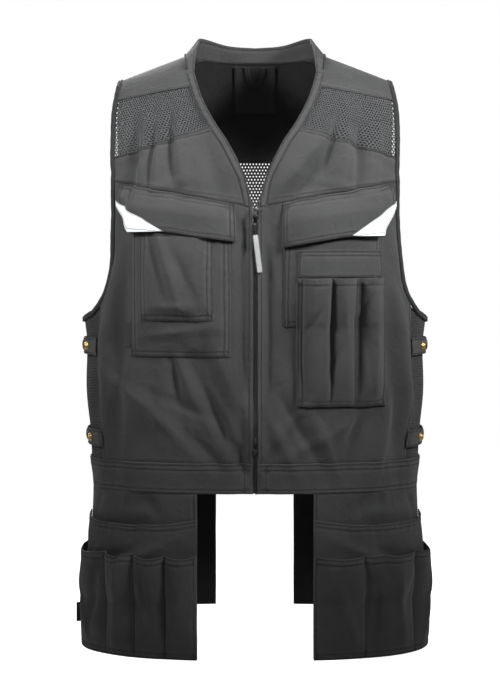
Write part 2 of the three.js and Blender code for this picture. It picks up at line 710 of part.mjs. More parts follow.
// How far a pocket's cloth stands off what it is sewn to: nothing at its sides and foot.
const swell = (u) => 1 - Math.abs(2 * u - 1) ** 3;
const fill = (v) => (1 - 0.65 * (1 - v) ** 2) * (1 - v ** 4);
const clothLayer = CLOTH + LAYER_GAP;

// A pocket on a front: its place, and its inner distance off the body at any point.
function pocket(shape, under, depth) {
  const at = (u, v) => {
    const x = lerp(shape.inner, shape.outer, u);
    const z = -lerp(shape.top, shape.bottom, v);
    return onFront(x, z);
  };
  const inner = (u, v) => {
    const x = lerp(shape.inner, shape.outer, u);
    const z = -lerp(shape.top, shape.bottom, v);
    return under(x, z) + depth * swell(u) * fill(v);
  };
  const above = (x, z) => {
    const u = clamp((x - shape.inner) / (shape.outer - shape.inner), 0, 1);
    const v = clamp((-z - shape.top) / (shape.bottom - shape.top), 0, 1);
    return inner(u, v) + clothLayer;
  };
  return { at, inner, above };
}

// A flap from the chest seam down, with its lower outer corner cut off at a slant.
const FLAP_MIDDLE = 0.6;
const FLAP_CORNER = 0.89;
const REFLECTOR_INSET = 0.04;

function flap(shape) {
  const across = (x) => clamp((x - shape.inner) / (shape.outer - shape.inner), 0, 1);
  const top = (x) => -chestSeam(Math.abs(x)) + SEAM_GAP;
  const foot = (u) => {
    if (u < FLAP_MIDDLE) return lerp(shape.innerDrop, shape.middleDrop, u / FLAP_MIDDLE);
    const past = Math.max(0, (u - FLAP_CORNER) / (1 - FLAP_CORNER));
    return lerp(shape.middleDrop, shape.outerDrop, past);
  };
  const at = (u, v) => {
    const x = lerp(shape.inner, shape.outer, u);
    return onFront(x, -lerp(top(x), foot(u), v));
  };
  const inner = (u, v) => {
    const side = 0.2 + 0.8 * (1 - Math.abs(2 * u - 1) ** 4);
    const risen = Math.min(1, v / 0.5);
    return clothLayer + FLAP_STAND * side * risen * risen * (3 - 2 * risen);
  };
  const above = (x, z) => {
    const u = across(x);
    const v = clamp((-z - top(x)) / (foot(u) - top(x)), 0, 1);
    return inner(u, v) + CLOTH;
  };
  return { at, inner, above, foot };
}

// The flap with the reflective patch over its slanted corner.
function addFlap(word, shape) {
  const { at, inner, above, foot } = flap(shape);
  const columns = [...shares(8).map((u) => u * FLAP_CORNER), lerp(FLAP_CORNER, 1, 0.5), 1];
  add("pocket_flap_" + word, sheet(at, columns, 4, inner), "canvas");
  const reflectorEnd = FLAP_MIDDLE + REFLECTOR_INSET;
  const patch = (u, v) => {
    const share = lerp(1, reflectorEnd, u);
    const x = lerp(shape.inner, shape.outer, share);
    const low = foot(share) - SEAM_GAP;
    const high = lerp(shape.outerDrop - REFLECTOR_EDGE, shape.middleDrop - 2 * SEAM_GAP, u) - SEAM_GAP;
    return [x, -lerp(high, low, v)];
  };
  const patchAt = (u, v) => onFront(...patch(u, v));
  const patchInner = (u, v) => above(...patch(u, v)) + 2 * SEAM_GAP;
  const turn = (1 - FLAP_CORNER) / (1 - reflectorEnd);
  const patchColumns = [0, turn / 2, turn, lerp(turn, 1, 0.35), lerp(turn, 1, 0.7), 1];
  const reflector = sheet(patchAt, patchColumns, 2, patchInner, LABEL_CLOTH);
  add("flap_reflector_" + word, reflector, "reflective");
}

// Right front: chest pocket, phone pocket over it, flap and the bare label at its side
{
  const chest = pocket(CHEST_POCKET, () => clothLayer, POCKET_DEPTH);
  add("chest_pocket", sheet(chest.at, 10, 7, chest.inner), "canvas");
  const phone = pocket(PHONE_POCKET, chest.above, PHONE_DEPTH);
  add("phone_pocket", sheet(phone.at, 10, 6, phone.inner), "canvas");
  addFlap("right", RIGHT_FLAP);
  const label = (u, v) => {
    const x = CHEST_POCKET.outer - SEAM_GAP - POCKET_LABEL.width * u;
    return onFront(x, -lerp(POCKET_LABEL.top, POCKET_LABEL.bottom, v));
  };
  add("pocket_label", sheet(label, 1, 2, clothLayer, LABEL_CLOTH), "black");
}

// Left front: patch pocket with a band and a three-tube tool pocket over it, and its flap
{
  const patch = pocket(PATCH_POCKET, () => clothLayer, POCKET_DEPTH);
  add("patch_pocket", sheet(patch.at, 10, 7, patch.inner), "canvas");
  const onPatch = (shape) => (u, v) => {
    return patch.above(lerp(shape.inner, shape.outer, u), -lerp(shape.top, shape.bottom, v));
  };
  const bandAt = (u, v) => {
    return onFront(lerp(TOOL_BAND.inner, TOOL_BAND.outer, u), -lerp(TOOL_BAND.top, TOOL_BAND.bottom, v));
  };
  add("tool_pocket_band", sheet(bandAt, 9, 1, onPatch(TOOL_BAND)), "canvas");
  const tubes = (u) => {
    const tube = TOOL_TUBES.find(({ from, to }) => u > from && u < to);
    return tube ? bulge((u - tube.from) / (tube.to - tube.from)) : 0;
  };
  const tubeFill = (v) => 1 - v ** 5;
  const toolAt = (u, v) => {
    const x = lerp(TOOL_POCKET.inner, TOOL_POCKET.outer, u);
    return onFront(x, -lerp(TOOL_POCKET.top, TOOL_POCKET.bottom, v));
  };
  const toolInner = (u, v) => onPatch(TOOL_POCKET)(u, v) + TOOL_DEPTH * tubes(u) * tubeFill(v);
  const columns = [0, ...TOOL_TUBES.flatMap(({ from, to }) => shares(4).map((s) => lerp(from, to, s))), 1];
  add("tool_pocket", sheet(toolAt, columns, 6, toolInner), "canvas");
  addFlap("left", LEFT_FLAP);
}

// Side straps over the mesh, each with a brass stud in front and a dark cap behind it
function disc(diameter, height, side, turn, depth, out) {
  const radius = diameter / 2;
  const profile = [
    [0, 0],
    [radius * 0.9, 0],
    [radius, height * 0.3],
    [radius * 0.8, height * 0.75],
    [radius * 0.3, height],
    [0, height],
  ].map(([r, h]) => new THREE.Vector2(r, h));
  const { point, normal } = onTorso(side * turn, -depth);
  const geometry = mergeVertices(new THREE.LatheGeometry(profile, 10).deleteAttribute("uv"), 1e-4);
  const turned = new THREE.Quaternion().setFromUnitVectors(new THREE.Vector3(0, 1, 0), normal);
  const seat = point.addScaledVector(normal, out);
  return geometry.applyQuaternion(turned).translate(seat.x, seat.y, seat.z);
}

for (const { side, word } of SIDES) {
  STRAP_DEPTHS.forEach((depth, i) => {
    const place = word + "_" + (i + 1);
    const strap = (u, v) => {
      const z = -depth + lerp(0.5, -0.5, v) * STRAP_HEIGHT;
      const first = turnAt(sideSeam(z) - STRAP_UNDERLAP, z);
      return onTorso(side * lerp(first, Math.PI - first, u), z);
    };
    add("side_strap_" + place, sheet(strap, 8, 2, clothLayer), "canvas");
    const seat = clothLayer + CLOTH + SEAM_GAP;
    const stud = disc(STUD_DIAMETER, STUD_HEIGHT, side, degToRad(STUD_TURN), depth, seat);
    add("press_stud_" + place, stud, "brass");
    const cap = disc(CAP_DIAMETER, CAP_HEIGHT, side, degToRad(CAP_TURN), depth, seat);
    add("stud_cap_" + place, cap, "darkMetal");
  });
}

// Holsters: a backing panel, an upper pocket, and a divided lower pocket over it
for (const { side, word } of SIDES) {
  const compartments = side < 0 ? RIGHT_COMPARTMENTS : LEFT_COMPARTMENTS;
  const top = NECK_TO_HEM + SEAM_GAP;
  const foot = NECK_TO_HEM + HOLSTER_LENGTH;
  const girth = (z, u) => side * lerp(turnAt(HOLSTER_INNER, z), degToRad(HOLSTER_OUTER_TURN), u);
  const between = (from, to) => (u, v) => onTorso(girth(-lerp(from, to, v), u), -lerp(from, to, v));
  add("holster_back_" + word, sheet(between(top, foot), 10, 6), "canvas");

  const upperMouth = NECK_TO_HEM + HOLSTER_UPPER_MOUTH;
  const upperFoot = foot - HOLSTER_LENGTH / 3;
  const upper = (u, v) => clothLayer + HOLSTER_POCKET_DEPTH * swell(u) * fill(v);
  const upperAt = between(upperMouth, upperFoot);
  add("holster_upper_pocket_" + word, sheet(upperAt, 10, 4, upper), "canvas");

  const lowerMouth = NECK_TO_HEM + HOLSTER_LOWER_MOUTH;
  const lower = (u, v) => {
    const depth = lerp(lowerMouth, foot, v);
    const below = clamp((depth - upperMouth) / (upperFoot - upperMouth), 0, 1);
    const room = compartments.find(({ from, to }) => u > from && u < to);
    const tube = room ? bulge((u - room.from) / (room.to - room.from)) : 0;
    return upper(u, below) + clothLayer + HOLSTER_POCKET_DEPTH * tube * (1 - v ** 4);
  };
  const columns = [0, ...compartments.flatMap(({ from, to }) => [0.25, 0.5, 0.75, 1].map((s) => lerp(from, to, s)))];
  add("holster_lower_pocket_" + word, sheet(between(lowerMouth, foot), columns, 5, lower), "canvas");

  // The rear pouch is one cloth folded up at its foot: down its back wall, then up its front.
  const rearFoot = NECK_TO_HEM + REAR_HOLSTER_LENGTH;
  const rear = (u, z, distance) => {
    const turn = lerp(turnAt(REAR_HOLSTER_INNER, z), turnAt(REAR_HOLSTER_OUTER, z), u);
    const { point, normal } = onTorso(side * (Math.PI - turn), z);
    return point.addScaledVector(normal, distance);
  };
  const room = (u, down) => clothLayer + REAR_HOLSTER_DEPTH * swell(u) * fill(down);
  const outside = (u, { down, inFront }) => {
    return rear(u, -lerp(top, rearFoot, down), inFront ? room(u, down) + CLOTH : 0);
  };
  const inside = (u, { down, inFront }) => {
    return rear(u, -lerp(top, rearFoot - CLOTH, down), inFront ? room(u, down) : CLOTH);
  };
  const depths = shares(4);
  const rows = [
    ...depths.map((down) => ({ down, inFront: false })),
    ...depths.reverse().map((down) => ({ down, inFront: true })),
  ];
  add("rear_holster_" + word, wall(shares(8), rows, outside, inside), "black");
}

// The bare label at the outer edge of the right holster
{
  const middle = NECK_TO_HEM + HOLSTER_LABEL.down;
  const edge = onTorso(-degToRad(HOLSTER_OUTER_TURN), -middle).point;
  const near = edge.x - 3 * clothLayer;
  const low = -middle - HOLSTER_LABEL.height / 2;
  const high = low + HOLSTER_LABEL.height;
  const outline = [
    [near, low],
    [near, high],
    [near - HOLSTER_LABEL.width, high - HOLSTER_LABEL.slant],
    [near - HOLSTER_LABEL.width, low - HOLSTER_LABEL.slant],
  ];
  add("holster_label", plate(outline, [], edge.y - LABEL_CLOTH, edge.y), "black");
}

// Zip: tapes and chain behind the front edges, two sliders and their pulls
{
  const tapeInner = -2.5 * SEAM_GAP - LABEL_CLOTH;
  const chainEdge = CHAIN_HALF + SEAM_GAP / 2;
  const across = [-TAPE_HALF, -chainEdge, -CHAIN_HALF, CHAIN_HALF, chainEdge, TAPE_HALF];
  const place = (u, v) => onFront(lerp(-TAPE_HALF, TAPE_HALF, u), -lerp(V_DEPTH, NECK_TO_HEM, v));
  const columns = across.map((x) => (x + TAPE_HALF) / (2 * TAPE_HALF));
  const thick = (u) => {
    const onChain = Math.abs(2 * u - 1) * TAPE_HALF < (CHAIN_HALF + chainEdge) / 2;
    return onChain ? CHAIN_PROUD - tapeInner : LABEL_CLOTH;
  };
  add("zip_chain", sheet(place, columns, 10, tapeInner, thick), "tape");
}

// A slider with the arch that its pull hangs in. It gives back the pull's axis.
function slider(name, depth) {
  const faceY = shoulders(0, climbAt(0, -depth)).y - CHAIN_PROUD - 2 * SEAM_GAP;
  const outer = faceY - SLIDER_THICKNESS;
  const half = SLIDER_WIDTH / 2;
  const tall = SLIDER_HEIGHT / 2;
  const body = [
    [-0.65 * half, tall],
    [-half, 0.6 * tall],
    [-half, -0.35 * tall],
    [-0.6 * half, -tall],
    [0.6 * half, -tall],
    [half, -0.35 * tall],
    [half, 0.6 * tall],
    [0.65 * half, tall],
  ].map(([x, z]) => [x, z - depth]);
  const reach = TUNNEL_LENGTH / 2 + ARCH_WALL;
  const top = outer - TUNNEL_HEIGHT - ARCH_WALL;
  const bevel = 0.7 * ARCH_WALL;
  const arch = [
    [outer + bevel, -reach],
    [top + bevel, -reach],
    [top, -reach + bevel],
    [top, reach - bevel],
    [top + bevel, reach],
    [outer + bevel, reach],
  ].map(([y, z]) => [y, z - depth]);
  const tunnel = [
    [outer, -TUNNEL_LENGTH / 2],
    [outer - TUNNEL_HEIGHT, -TUNNEL_LENGTH / 2],
    [outer - TUNNEL_HEIGHT, TUNNEL_LENGTH / 2],
    [outer, TUNNEL_LENGTH / 2],
  ].map(([y, z]) => [y, z - depth]);
  const bow = plate(arch, [tunnel], -ARCH_WIDTH / 2, ARCH_WIDTH / 2).rotateZ(Math.PI / 2);
  add(name, joined([plate(body, [], outer, faceY), bow]), "darkMetal");
  return { y: outer - TUNNEL_HEIGHT / 2, z: -depth - TUNNEL_LENGTH / 2 + PULL_BAR };
}

// A pull: a frame whose top bar lies in the slider's arch, then a tongue down to its end.
function pull(name, axis, length) {
  const half = PULL_WIDTH / 2;
  const bar = PULL_BAR / 2;
  const frame = TUNNEL_LENGTH + 2 * ARCH_WALL + bar;
  const outline = [
    [-half, bar],
    [half, bar],
    [half, -frame - bar],
    [half / 2, -frame - 2 * PULL_BAR],
    [half / 2, -length + PULL_BAR],
    [-half / 2, -length + PULL_BAR],
    [-half / 2, -frame - 2 * PULL_BAR],
    [-half, -frame - bar],
  ].map(([x, z]) => [x, z + axis.z]);
  const inside = half - PULL_BAR;
  const hole = [
    [-inside, -bar],
    [-inside, -frame],
    [inside, -frame],
    [inside, -bar],
  ].map(([x, z]) => [x, z + axis.z]);
  add(name, plate(outline, [hole], axis.y - bar, axis.y + bar), "darkMetal");
}

{
  const axis = slider("zip_slider_top", TOP_SLIDER_DEPTH);
  pull("zip_pull_tab", axis, PULL_LENGTH);
  const strip = new THREE.BoxGeometry(STRIP_WIDTH, STRIP_THICKNESS, STRIP_LENGTH);
  const droop = (STRIP_WIDTH / 2) * Math.sin(degToRad(STRIP_TILT));
  strip.translate(0, 0, -STRIP_LENGTH / 2).rotateY(-degToRad(STRIP_TILT));
  strip.translate(0, axis.y, axis.z - PULL_LENGTH + PULL_BAR - SEAM_GAP - droop);
  add("zip_pull_strip", strip, "reflective");
  const lowerAxis = slider("zip_slider_bottom", BOTTOM_SLIDER_DEPTH);
  pull("zip_bottom_tab", lowerAxis, BOTTOM_PULL_LENGTH);
}

export default vest;
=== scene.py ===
"""A utility work vest with hanging holsters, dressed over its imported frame.

Lengths inside the builders are millimetres, as in the part's own source; meshes are written in metres.
The front faces -Y, +Z is up and the wearer's left side is +X.
"""

import logging
import math
from dataclasses import dataclass, field
from enum import Enum
from functools import cache
from typing import Any, Callable, Sequence

import bmesh
import bpy
import numpy as np
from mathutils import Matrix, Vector
from mathutils.kdtree import KDTree


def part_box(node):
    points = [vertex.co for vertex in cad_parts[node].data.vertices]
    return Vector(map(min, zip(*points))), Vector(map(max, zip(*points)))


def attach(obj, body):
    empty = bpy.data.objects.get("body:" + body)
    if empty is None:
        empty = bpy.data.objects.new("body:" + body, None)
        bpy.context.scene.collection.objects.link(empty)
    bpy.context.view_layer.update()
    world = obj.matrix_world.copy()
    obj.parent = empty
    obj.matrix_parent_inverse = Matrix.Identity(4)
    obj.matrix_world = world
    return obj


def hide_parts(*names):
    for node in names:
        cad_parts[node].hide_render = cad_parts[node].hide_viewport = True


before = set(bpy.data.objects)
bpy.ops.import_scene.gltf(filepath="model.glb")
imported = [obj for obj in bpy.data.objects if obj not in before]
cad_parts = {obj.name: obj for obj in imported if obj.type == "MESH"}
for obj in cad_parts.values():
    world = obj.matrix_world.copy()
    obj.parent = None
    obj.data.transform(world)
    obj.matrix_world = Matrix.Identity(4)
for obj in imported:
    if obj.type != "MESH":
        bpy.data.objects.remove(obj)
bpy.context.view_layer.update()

log = logging.getLogger("vest")

Array = np.ndarray
Pair = tuple[Array, Array]
Place = Callable[[Array, Array], Pair]
Amount = float | Callable[[Array, Array], Array]
Colour = tuple[float, float, float]
Thing = bpy.types.Object
Tree = bpy.types.NodeTree
Socket = bpy.types.NodeSocket


NUMBER = "NodeSocketFloat"
VECTOR = "NodeSocketVector"
GEOMETRY = "NodeSocketGeometry"


MM = 0.001
CLOTH = 1.3
NET_CLOTH = 0.8
DOUBLE_CLOTH = 2.6
LABEL_CLOTH = 0.6
LAYER = 0.25
SEAM_GAP = 0.4
LAP = 8.0
TUCK = 1.75
BAND_WIDTH = 10.0
COLLAR_HEIGHT = 22.0
COLLAR_START = 30.0
COLLAR_RIDGE = 0.62
SHOULDER_SEAM_BEHIND = 0.25
ZIP_EDGE = 5.0
ZIP_LIP = 2.6


class Side(Enum):
    """The wearer's sides, by the sign of X."""


    RIGHT = -1
    LEFT = 1

    @property
    def word(self) -> str:
        """The side's name as the nodes spell it."""
        return self.name.lower()


class Edge(Enum):
    """The four edges of a sheet, by the share that is constant along them."""


    INNER = 0
    OUTER = 1
    TOP = 2
    FOOT = 3


INNER, OUTER, TOP, FOOT = Edge


class Held(Enum):
    """How a sheet of cloth is held, in the frame's words."""


    HUNG = "hung"
    LAID = "laid"
    STRETCHED = "stretched"
    FOLDED = "folded"
    GATHERED = "gathered"


def lerp(a: Amount, b: Amount, t: Amount) -> Amount:
    """The value at a share t of the way from a to b."""
    return a + (b - a) * t


def soften(t: Array) -> Array:
    """A share eased at both ends."""
    return t * t * (3 - 2 * t)


def ease(low: float, high: float, value: Array) -> Array:
    """A soft step from 0 at low to 1 at high."""
    return soften(np.clip((value - low) / (high - low), 0, 1))


def settle(start: Array, step: Callable[[Array], Array]) -> Array:
    """A value that depends on itself, after four rounds."""
    for _ in range(4):
        start = step(start)
    return start


def unit(vectors: Array) -> Array:
    """The vectors at length 1."""
    return vectors / np.maximum(np.linalg.norm(vectors, axis=-1, keepdims=True), 1e-12)


def run_of(line: Array) -> Array:
    """How far along a line each of its points is."""
    return np.r_[0, np.cumsum(np.linalg.norm(np.diff(line, axis=0), axis=1))]


def read_at(line: Array, run: Array, marks: Array) -> Array:
    """Points of a line at distances along it."""
    return np.stack([np.interp(marks, run, line[:, k]) for k in range(3)], axis=-1)


@dataclass(frozen=True)
class Curve:
    """A smooth curve through given rows, which goes on straight past its ends."""

    keys: tuple[float, ...]
    values: tuple[float, ...]

    def at(self, place: Array) -> Array:
        """The curve's values.

        Args:
            place: where to read the curve, in the units of its keys.

        Returns:
            One value for each place.
        """
        keys, values = np.array(self.keys), np.array(self.values)
        last = len(keys) - 1
        low = np.maximum(np.arange(last + 1) - 1, 0)
        high = np.minimum(np.arange(last + 1) + 1, last)
        slope = (values[high] - values[low]) / (keys[high] - keys[low])
        i = np.clip(np.searchsorted(keys, place, side="right") - 1, 0, last - 1)
        span = keys[i + 1] - keys[i]
        t = (place - keys[i]) / span
        bend = t * (1 - t) ** 2 * slope[i] - t * t * (1 - t) * slope[i + 1]
        within = lerp(values[i], values[i + 1], soften(t)) + span * bend
        before = values[0] + slope[0] * (place - keys[0])
        after = values[-1] + slope[-1] * (place - keys[-1])
        return np.where(place <= keys[0], before, np.where(place >= keys[-1], after, within))


@dataclass(frozen=True)
class Fold:
    """A soft fold of the cloth, with its place and size as shares of the garment's sizes."""

    face: int
    across: float
    down: float
    long: float
    wide: float
    lean: float
    stand: float


def folds(face: int, *rows: tuple[float, ...]) -> tuple[Fold, ...]:
    """Folds of one face, from rows of across, down, long, wide, lean and stand."""
    return tuple(Fold(face, *row) for row in rows)


FRONT, BACK = -1, 1
FOLDS = folds(
    FRONT,
    (-0.78, 0.4, 0.22, 0.05, 12, -0.01), (-0.72, 0.76, 0.16, 0.05, -38, 0.009),
    (-0.3, 0.83, 0.18, 0.06, -20, -0.008), (-0.18, 0.55, 0.24, 0.06, 4, 0.007),
    (0.12, 0.7, 0.26, 0.05, -5, -0.008), (0.42, 0.86, 0.16, 0.06, 25, 0.008),
    (0.8, 0.66, 0.2, 0.05, 8, 0.009), (0.78, 0.42, 0.2, 0.05, -14, -0.01),
    (-0.55, 0.28, 0.16, 0.06, 50, 0.008), (0.55, 0.27, 0.16, 0.06, -50, 0.008),
) + folds(
    BACK,
    (-0.45, 0.74, 0.24, 0.06, 10, 0.01), (0.1, 0.68, 0.26, 0.06, -6, -0.009),
    (0.52, 0.78, 0.22, 0.06, -12, 0.01),
)


SHARP_FOLDS = folds(
    FRONT,
    (-0.62, 0.24, 0.1, 0.016, 4, 0.013), (-0.69, 0.25, 0.1, 0.014, 2, -0.013),
    (-0.54, 0.24, 0.1, 0.014, 2, 0.01), (-0.58, 0.24, 0.1, 0.01, 3, -0.008),
    (-0.47, 0.235, 0.1, 0.014, -4, -0.012), (-0.41, 0.235, 0.11, 0.016, -8, 0.011),
    (-0.27, 0.25, 0.13, 0.03, -20, -0.012), (0.5, 0.235, 0.1, 0.018, 4, 0.014),
    (0.59, 0.24, 0.1, 0.015, 6, -0.013), (0.68, 0.24, 0.1, 0.018, 8, 0.01),
    (0.42, 0.245, 0.11, 0.015, 12, -0.013), (0.24, 0.26, 0.14, 0.024, 38, 0.015),
    (0.33, 0.28, 0.12, 0.02, 34, -0.012), (-0.075, 0.66, 0.42, 0.02, 0, -0.016),
    (0.08, 0.64, 0.42, 0.021, 0, -0.017), (0.17, 0.62, 0.22, 0.045, -3, -0.014),
    (-0.1, 0.78, 0.2, 0.03, -22, 0.016), (-0.2, 0.84, 0.16, 0.022, -28, -0.012),
    (-0.36, 0.76, 0.12, 0.02, -24, 0.012), (-0.45, 0.75, 0.09, 0.014, -8, -0.01),
    (-0.52, 0.77, 0.1, 0.018, 6, 0.01), (-0.14, 0.9, 0.07, 0.02, 10, 0.012),
    (-0.3, 0.9, 0.08, 0.02, -46, -0.01), (0.14, 0.88, 0.1, 0.018, -24, 0.013),
    (0.26, 0.86, 0.12, 0.016, -30, -0.013), (0.38, 0.89, 0.1, 0.018, -22, 0.011),
    (0.56, 0.87, 0.1, 0.02, 14, -0.01), (0.72, 0.86, 0.14, 0.02, 10, 0.012),
    (-0.83, 0.72, 0.3, 0.022, 4, 0.014), (-0.76, 0.7, 0.3, 0.02, 3, -0.01),
    (0.83, 0.7, 0.3, 0.022, -5, 0.014), (0.77, 0.74, 0.28, 0.02, -4, -0.01),
    (-0.84, 0.5, 0.14, 0.018, 20, -0.006), (-0.66, 0.79, 0.13, 0.016, -52, 0.007),
    (-0.5, 0.845, 0.11, 0.016, -40, 0.006), (-0.42, 0.8, 0.1, 0.014, -66, -0.005),
    (-0.12, 0.86, 0.12, 0.016, -30, 0.006), (-0.08, 0.47, 0.14, 0.014, 8, -0.005),
    (0.1, 0.5, 0.16, 0.016, -8, 0.005), (0.2, 0.84, 0.12, 0.015, 42, 0.006),
    (0.36, 0.88, 0.12, 0.016, 62, 0.006), (0.62, 0.83, 0.13, 0.017, 36, -0.006),
    (0.84, 0.76, 0.12, 0.018, -14, 0.007), (0.82, 0.55, 0.14, 0.016, -18, -0.006),
    (-0.86, 0.66, 0.13, 0.018, 16, 0.007), (-0.62, 0.24, 0.1, 0.016, 62, -0.005),
    (-0.5, 0.31, 0.1, 0.014, 74, 0.005), (0.62, 0.24, 0.1, 0.016, -62, -0.005),
    (0.46, 0.31, 0.1, 0.014, -74, 0.005), (-0.68, 1.1, 0.12, 0.02, 22, -0.006),
    (0.62, 1.12, 0.12, 0.02, -18, 0.006),
) + folds(
    BACK,
    (-0.6, 0.66, 0.14, 0.018, 28, -0.007), (-0.3, 0.8, 0.14, 0.016, 52, 0.006),
    (0.05, 0.84, 0.12, 0.016, -36, 0.006), (0.34, 0.7, 0.16, 0.018, -16, -0.006),
    (0.66, 0.64, 0.14, 0.018, 30, 0.007), (-0.35, 0.16, 0.12, 0.02, 76, 0.006),
    (0.38, 0.18, 0.12, 0.02, -70, 0.006), (0.0, 0.94, 0.2, 0.03, 88, -0.004),
)


@dataclass(frozen=True)
class Body:
    """The surface that the vest is worn over, with the garment's driving sizes."""

    half_chest: float = 226.0
    depth: float = 255.0
    hem: float = 567.0
    half_neck: float = 85.0
    half_shoulder: float = 183.0
    shoulder_drop: float = 37.0
    rounding: float = 30.0
    ridge_behind: float = 8.0
    chest_line: float = 200.0
    v_depth: float = 204.0
    armhole_depth: float = 335.0
    underarm_dip: float = 10.0
    back_neck_drop: float = 0.446
    side_seam_share: float = 0.89
    roundness: float = 2.4
    neck_curve: float = 1.4
    neck_arc: float = 150.0
    ripple: float = 0.5
    fold_strength: float = 1.9
    small_length: float = 0.05
    small_angle: float = 0.001
    downs: tuple[float, ...] = (0.353, 0.494, 0.608, 0.672, 0.776, 0.882, 0.935, 1.0, 1.14, 1.38)
    wide: tuple[float, ...] = (0.978, 0.991, 1.0, 0.985, 0.991, 0.965, 0.96, 0.942, 0.96, 0.995)
    front: tuple[float, ...] = (0.525, 0.537, 0.533, 0.525, 0.518, 0.514, 0.51, 0.51, 0.5, 0.5)
    back: tuple[float, ...] = (0.463, 0.455, 0.439, 0.431, 0.424, 0.427, 0.435, 0.443, 0.447, 0.45)
    v_edge: Curve = Curve(
        (0.0, 0.13, 0.285, 0.387, 0.485, 0.583, 0.706, 0.82, 1.0),
        (0.995, 0.93, 0.82, 0.71, 0.575, 0.42, 0.265, 0.145, 0.04),
    )
    armhole_edge: Curve = Curve(
        (0.11, 0.24, 0.39, 0.6, 0.72, 0.865, 0.925, 0.96, 1.0),
        (0.985, 1.012, 1.012, 1.008, 1.02, 1.045, 1.075, 1.11, 1.16),
    )

    def section(self, z: Array) -> tuple[Array, Array, Array]:
        """Half the width, and the depths in front and behind, at a height."""
        down = -z / self.hem
        wide = self.half_chest * Curve(self.downs, self.wide).at(down)
        front = self.depth * Curve(self.downs, self.front).at(down)
        return wide, front, self.depth * Curve(self.downs, self.back).at(down)

    def ridge(self, x: Array) -> Array:
        """Height of the shoulder's ridge."""
        rise = math.hypot(self.half_neck, self.rounding)
        run = math.hypot(self.half_shoulder, self.rounding) - rise
        return self.shoulder_drop / run * (rise - np.hypot(x, self.rounding))

    def folded(self, x: Array, y: Array, z: Array) -> Array:
        """The point pushed in or out by the folds, creases and small ripples that run through it.

        Args:
            x: distances to the wearer's left.
            y: distances behind the middle.
            z: heights.

        Returns:
            The points, one in each row of the last axis.
        """
        stand = np.zeros_like(y)
        share = np.minimum(1, np.abs(y) / (self.depth / 8))
        for fold in FOLDS + SHARP_FOLDS:
            across = x - fold.across * self.half_chest
            up = z + fold.down * self.hem
            angle = math.radians(fold.lean)
            along = (up * math.cos(angle) + across * math.sin(angle)) / (fold.long * 2 * self.half_chest)
            aside = (across * math.cos(angle) - up * math.sin(angle)) / (fold.wide * 2 * self.half_chest)
            here = share * (fold.face * y >= 0)
            sharp = self.fold_strength if fold in SHARP_FOLDS else 1.0
            stand = stand + sharp * here * fold.stand * self.depth * np.exp(-along * along - aside * aside)
        wave = np.sin(x / 17 + 1.3 * np.sin(z / 41)) * np.sin(z / 29 + 0.7 + 0.5 * np.sin(x / 53))
        small = np.sin((x + 0.6 * z) / 8.5) * np.sin((z - 0.4 * x) / 19)
        stand = stand + share * self.ripple * (wave + 0.4 * small)
        reach = np.maximum(np.hypot(x, y), 1.0)
        return np.stack([x + stand * x / reach, y + stand * y / reach, z + 0 * y], axis=-1)

    def torso(self, turn: Array, z: Array) -> Array:
        """Points of the torso. The turn goes round from the centre front to the wearer's left."""
        wide, front, back = self.section(z)
        s, c = np.sin(turn), np.cos(turn)
        x = wide * np.sign(s) * np.abs(s) ** (2 / self.roundness)
        y = np.where(c > 0, -front, back) * np.abs(c) ** (2 / self.roundness)
        return self.folded(x, y, z + 0 * turn)

    def shoulders(self, x: Array, climb: Array) -> Array:
        """Points of the shoulders, from the chest line over the ridge and down behind.

        Args:
            x: distances to the wearer's left.
            climb: 0 at the chest line in front, half a turn at the one behind.

        Returns:
            The points.
        """
        above = np.clip(climb, 0, math.pi)
        below = np.where(climb < 0, -climb, np.maximum(climb - math.pi, 0))
        z = -self.chest_line - below * self.chest_line
        wide, front, back = self.section(z)
        share = np.minimum(1, np.abs(x) / wide) ** self.roundness
        round_it = (1 - share) ** (1 / self.roundness)
        depth = np.where(climb < math.pi / 2, -front, back) * round_it
        y = self.ridge_behind + (depth - self.ridge_behind) * np.abs(np.cos(above))
        return self.folded(x + 0 * y, y, z + (self.ridge(x) + self.chest_line) * np.sin(above))

    def height_at(self, x: Array, climb: Array) -> Array:
        """Height of a climb."""
        over = -self.chest_line + (self.ridge(x) + self.chest_line) * np.sin(climb)
        return np.where(climb < 0, -self.chest_line * (1 - climb), over)

    def climb_at(self, x: Array, z: Array) -> Array:
        """Climb of a height in front."""
        share = np.clip((z + self.chest_line) / (self.ridge(x) + self.chest_line), -1, 1)
        return np.where(z <= -self.chest_line, (z + self.chest_line) / self.chest_line, np.arcsin(share))

    def standing(self, surface: Callable, a: Array, b: Array, da: float, db: float) -> Pair:
        """Points of a surface with its direction outwards.

        Args:
            surface: a function of two parameters.
            a: first parameter.
            b: second parameter.
            da: small step of the first.
            db: small step of the second.

        Returns:
            The points and the unit normals.
        """
        a, b = np.broadcast_arrays(np.asarray(a, float), np.asarray(b, float))
        normal = np.cross(surface(a + da, b) - surface(a - da, b), surface(a, b + db) - surface(a, b - db))
        return surface(a, b), unit(normal)

    def on_torso(self, turn: Array, z: Array) -> Pair:
        """Points and normals of the torso."""
        return self.standing(self.torso, turn, z, self.small_angle, self.small_length)

    def on_shoulders(self, x: Array, climb: Array) -> Pair:
        """Points and normals of the shoulders."""
        return self.standing(self.shoulders, x, climb, self.small_length, self.small_angle)

    def on_front(self, x: Array, z: Array) -> Pair:
        """Points and normals of the front, by place in the front view."""
        return self.on_shoulders(x, self.climb_at(x, z))

    def on_back(self, x: Array, z: Array) -> Pair:
        """Points and normals of the back, by place in the back view."""
        return self.on_shoulders(x, math.pi - self.climb_at(x, z))

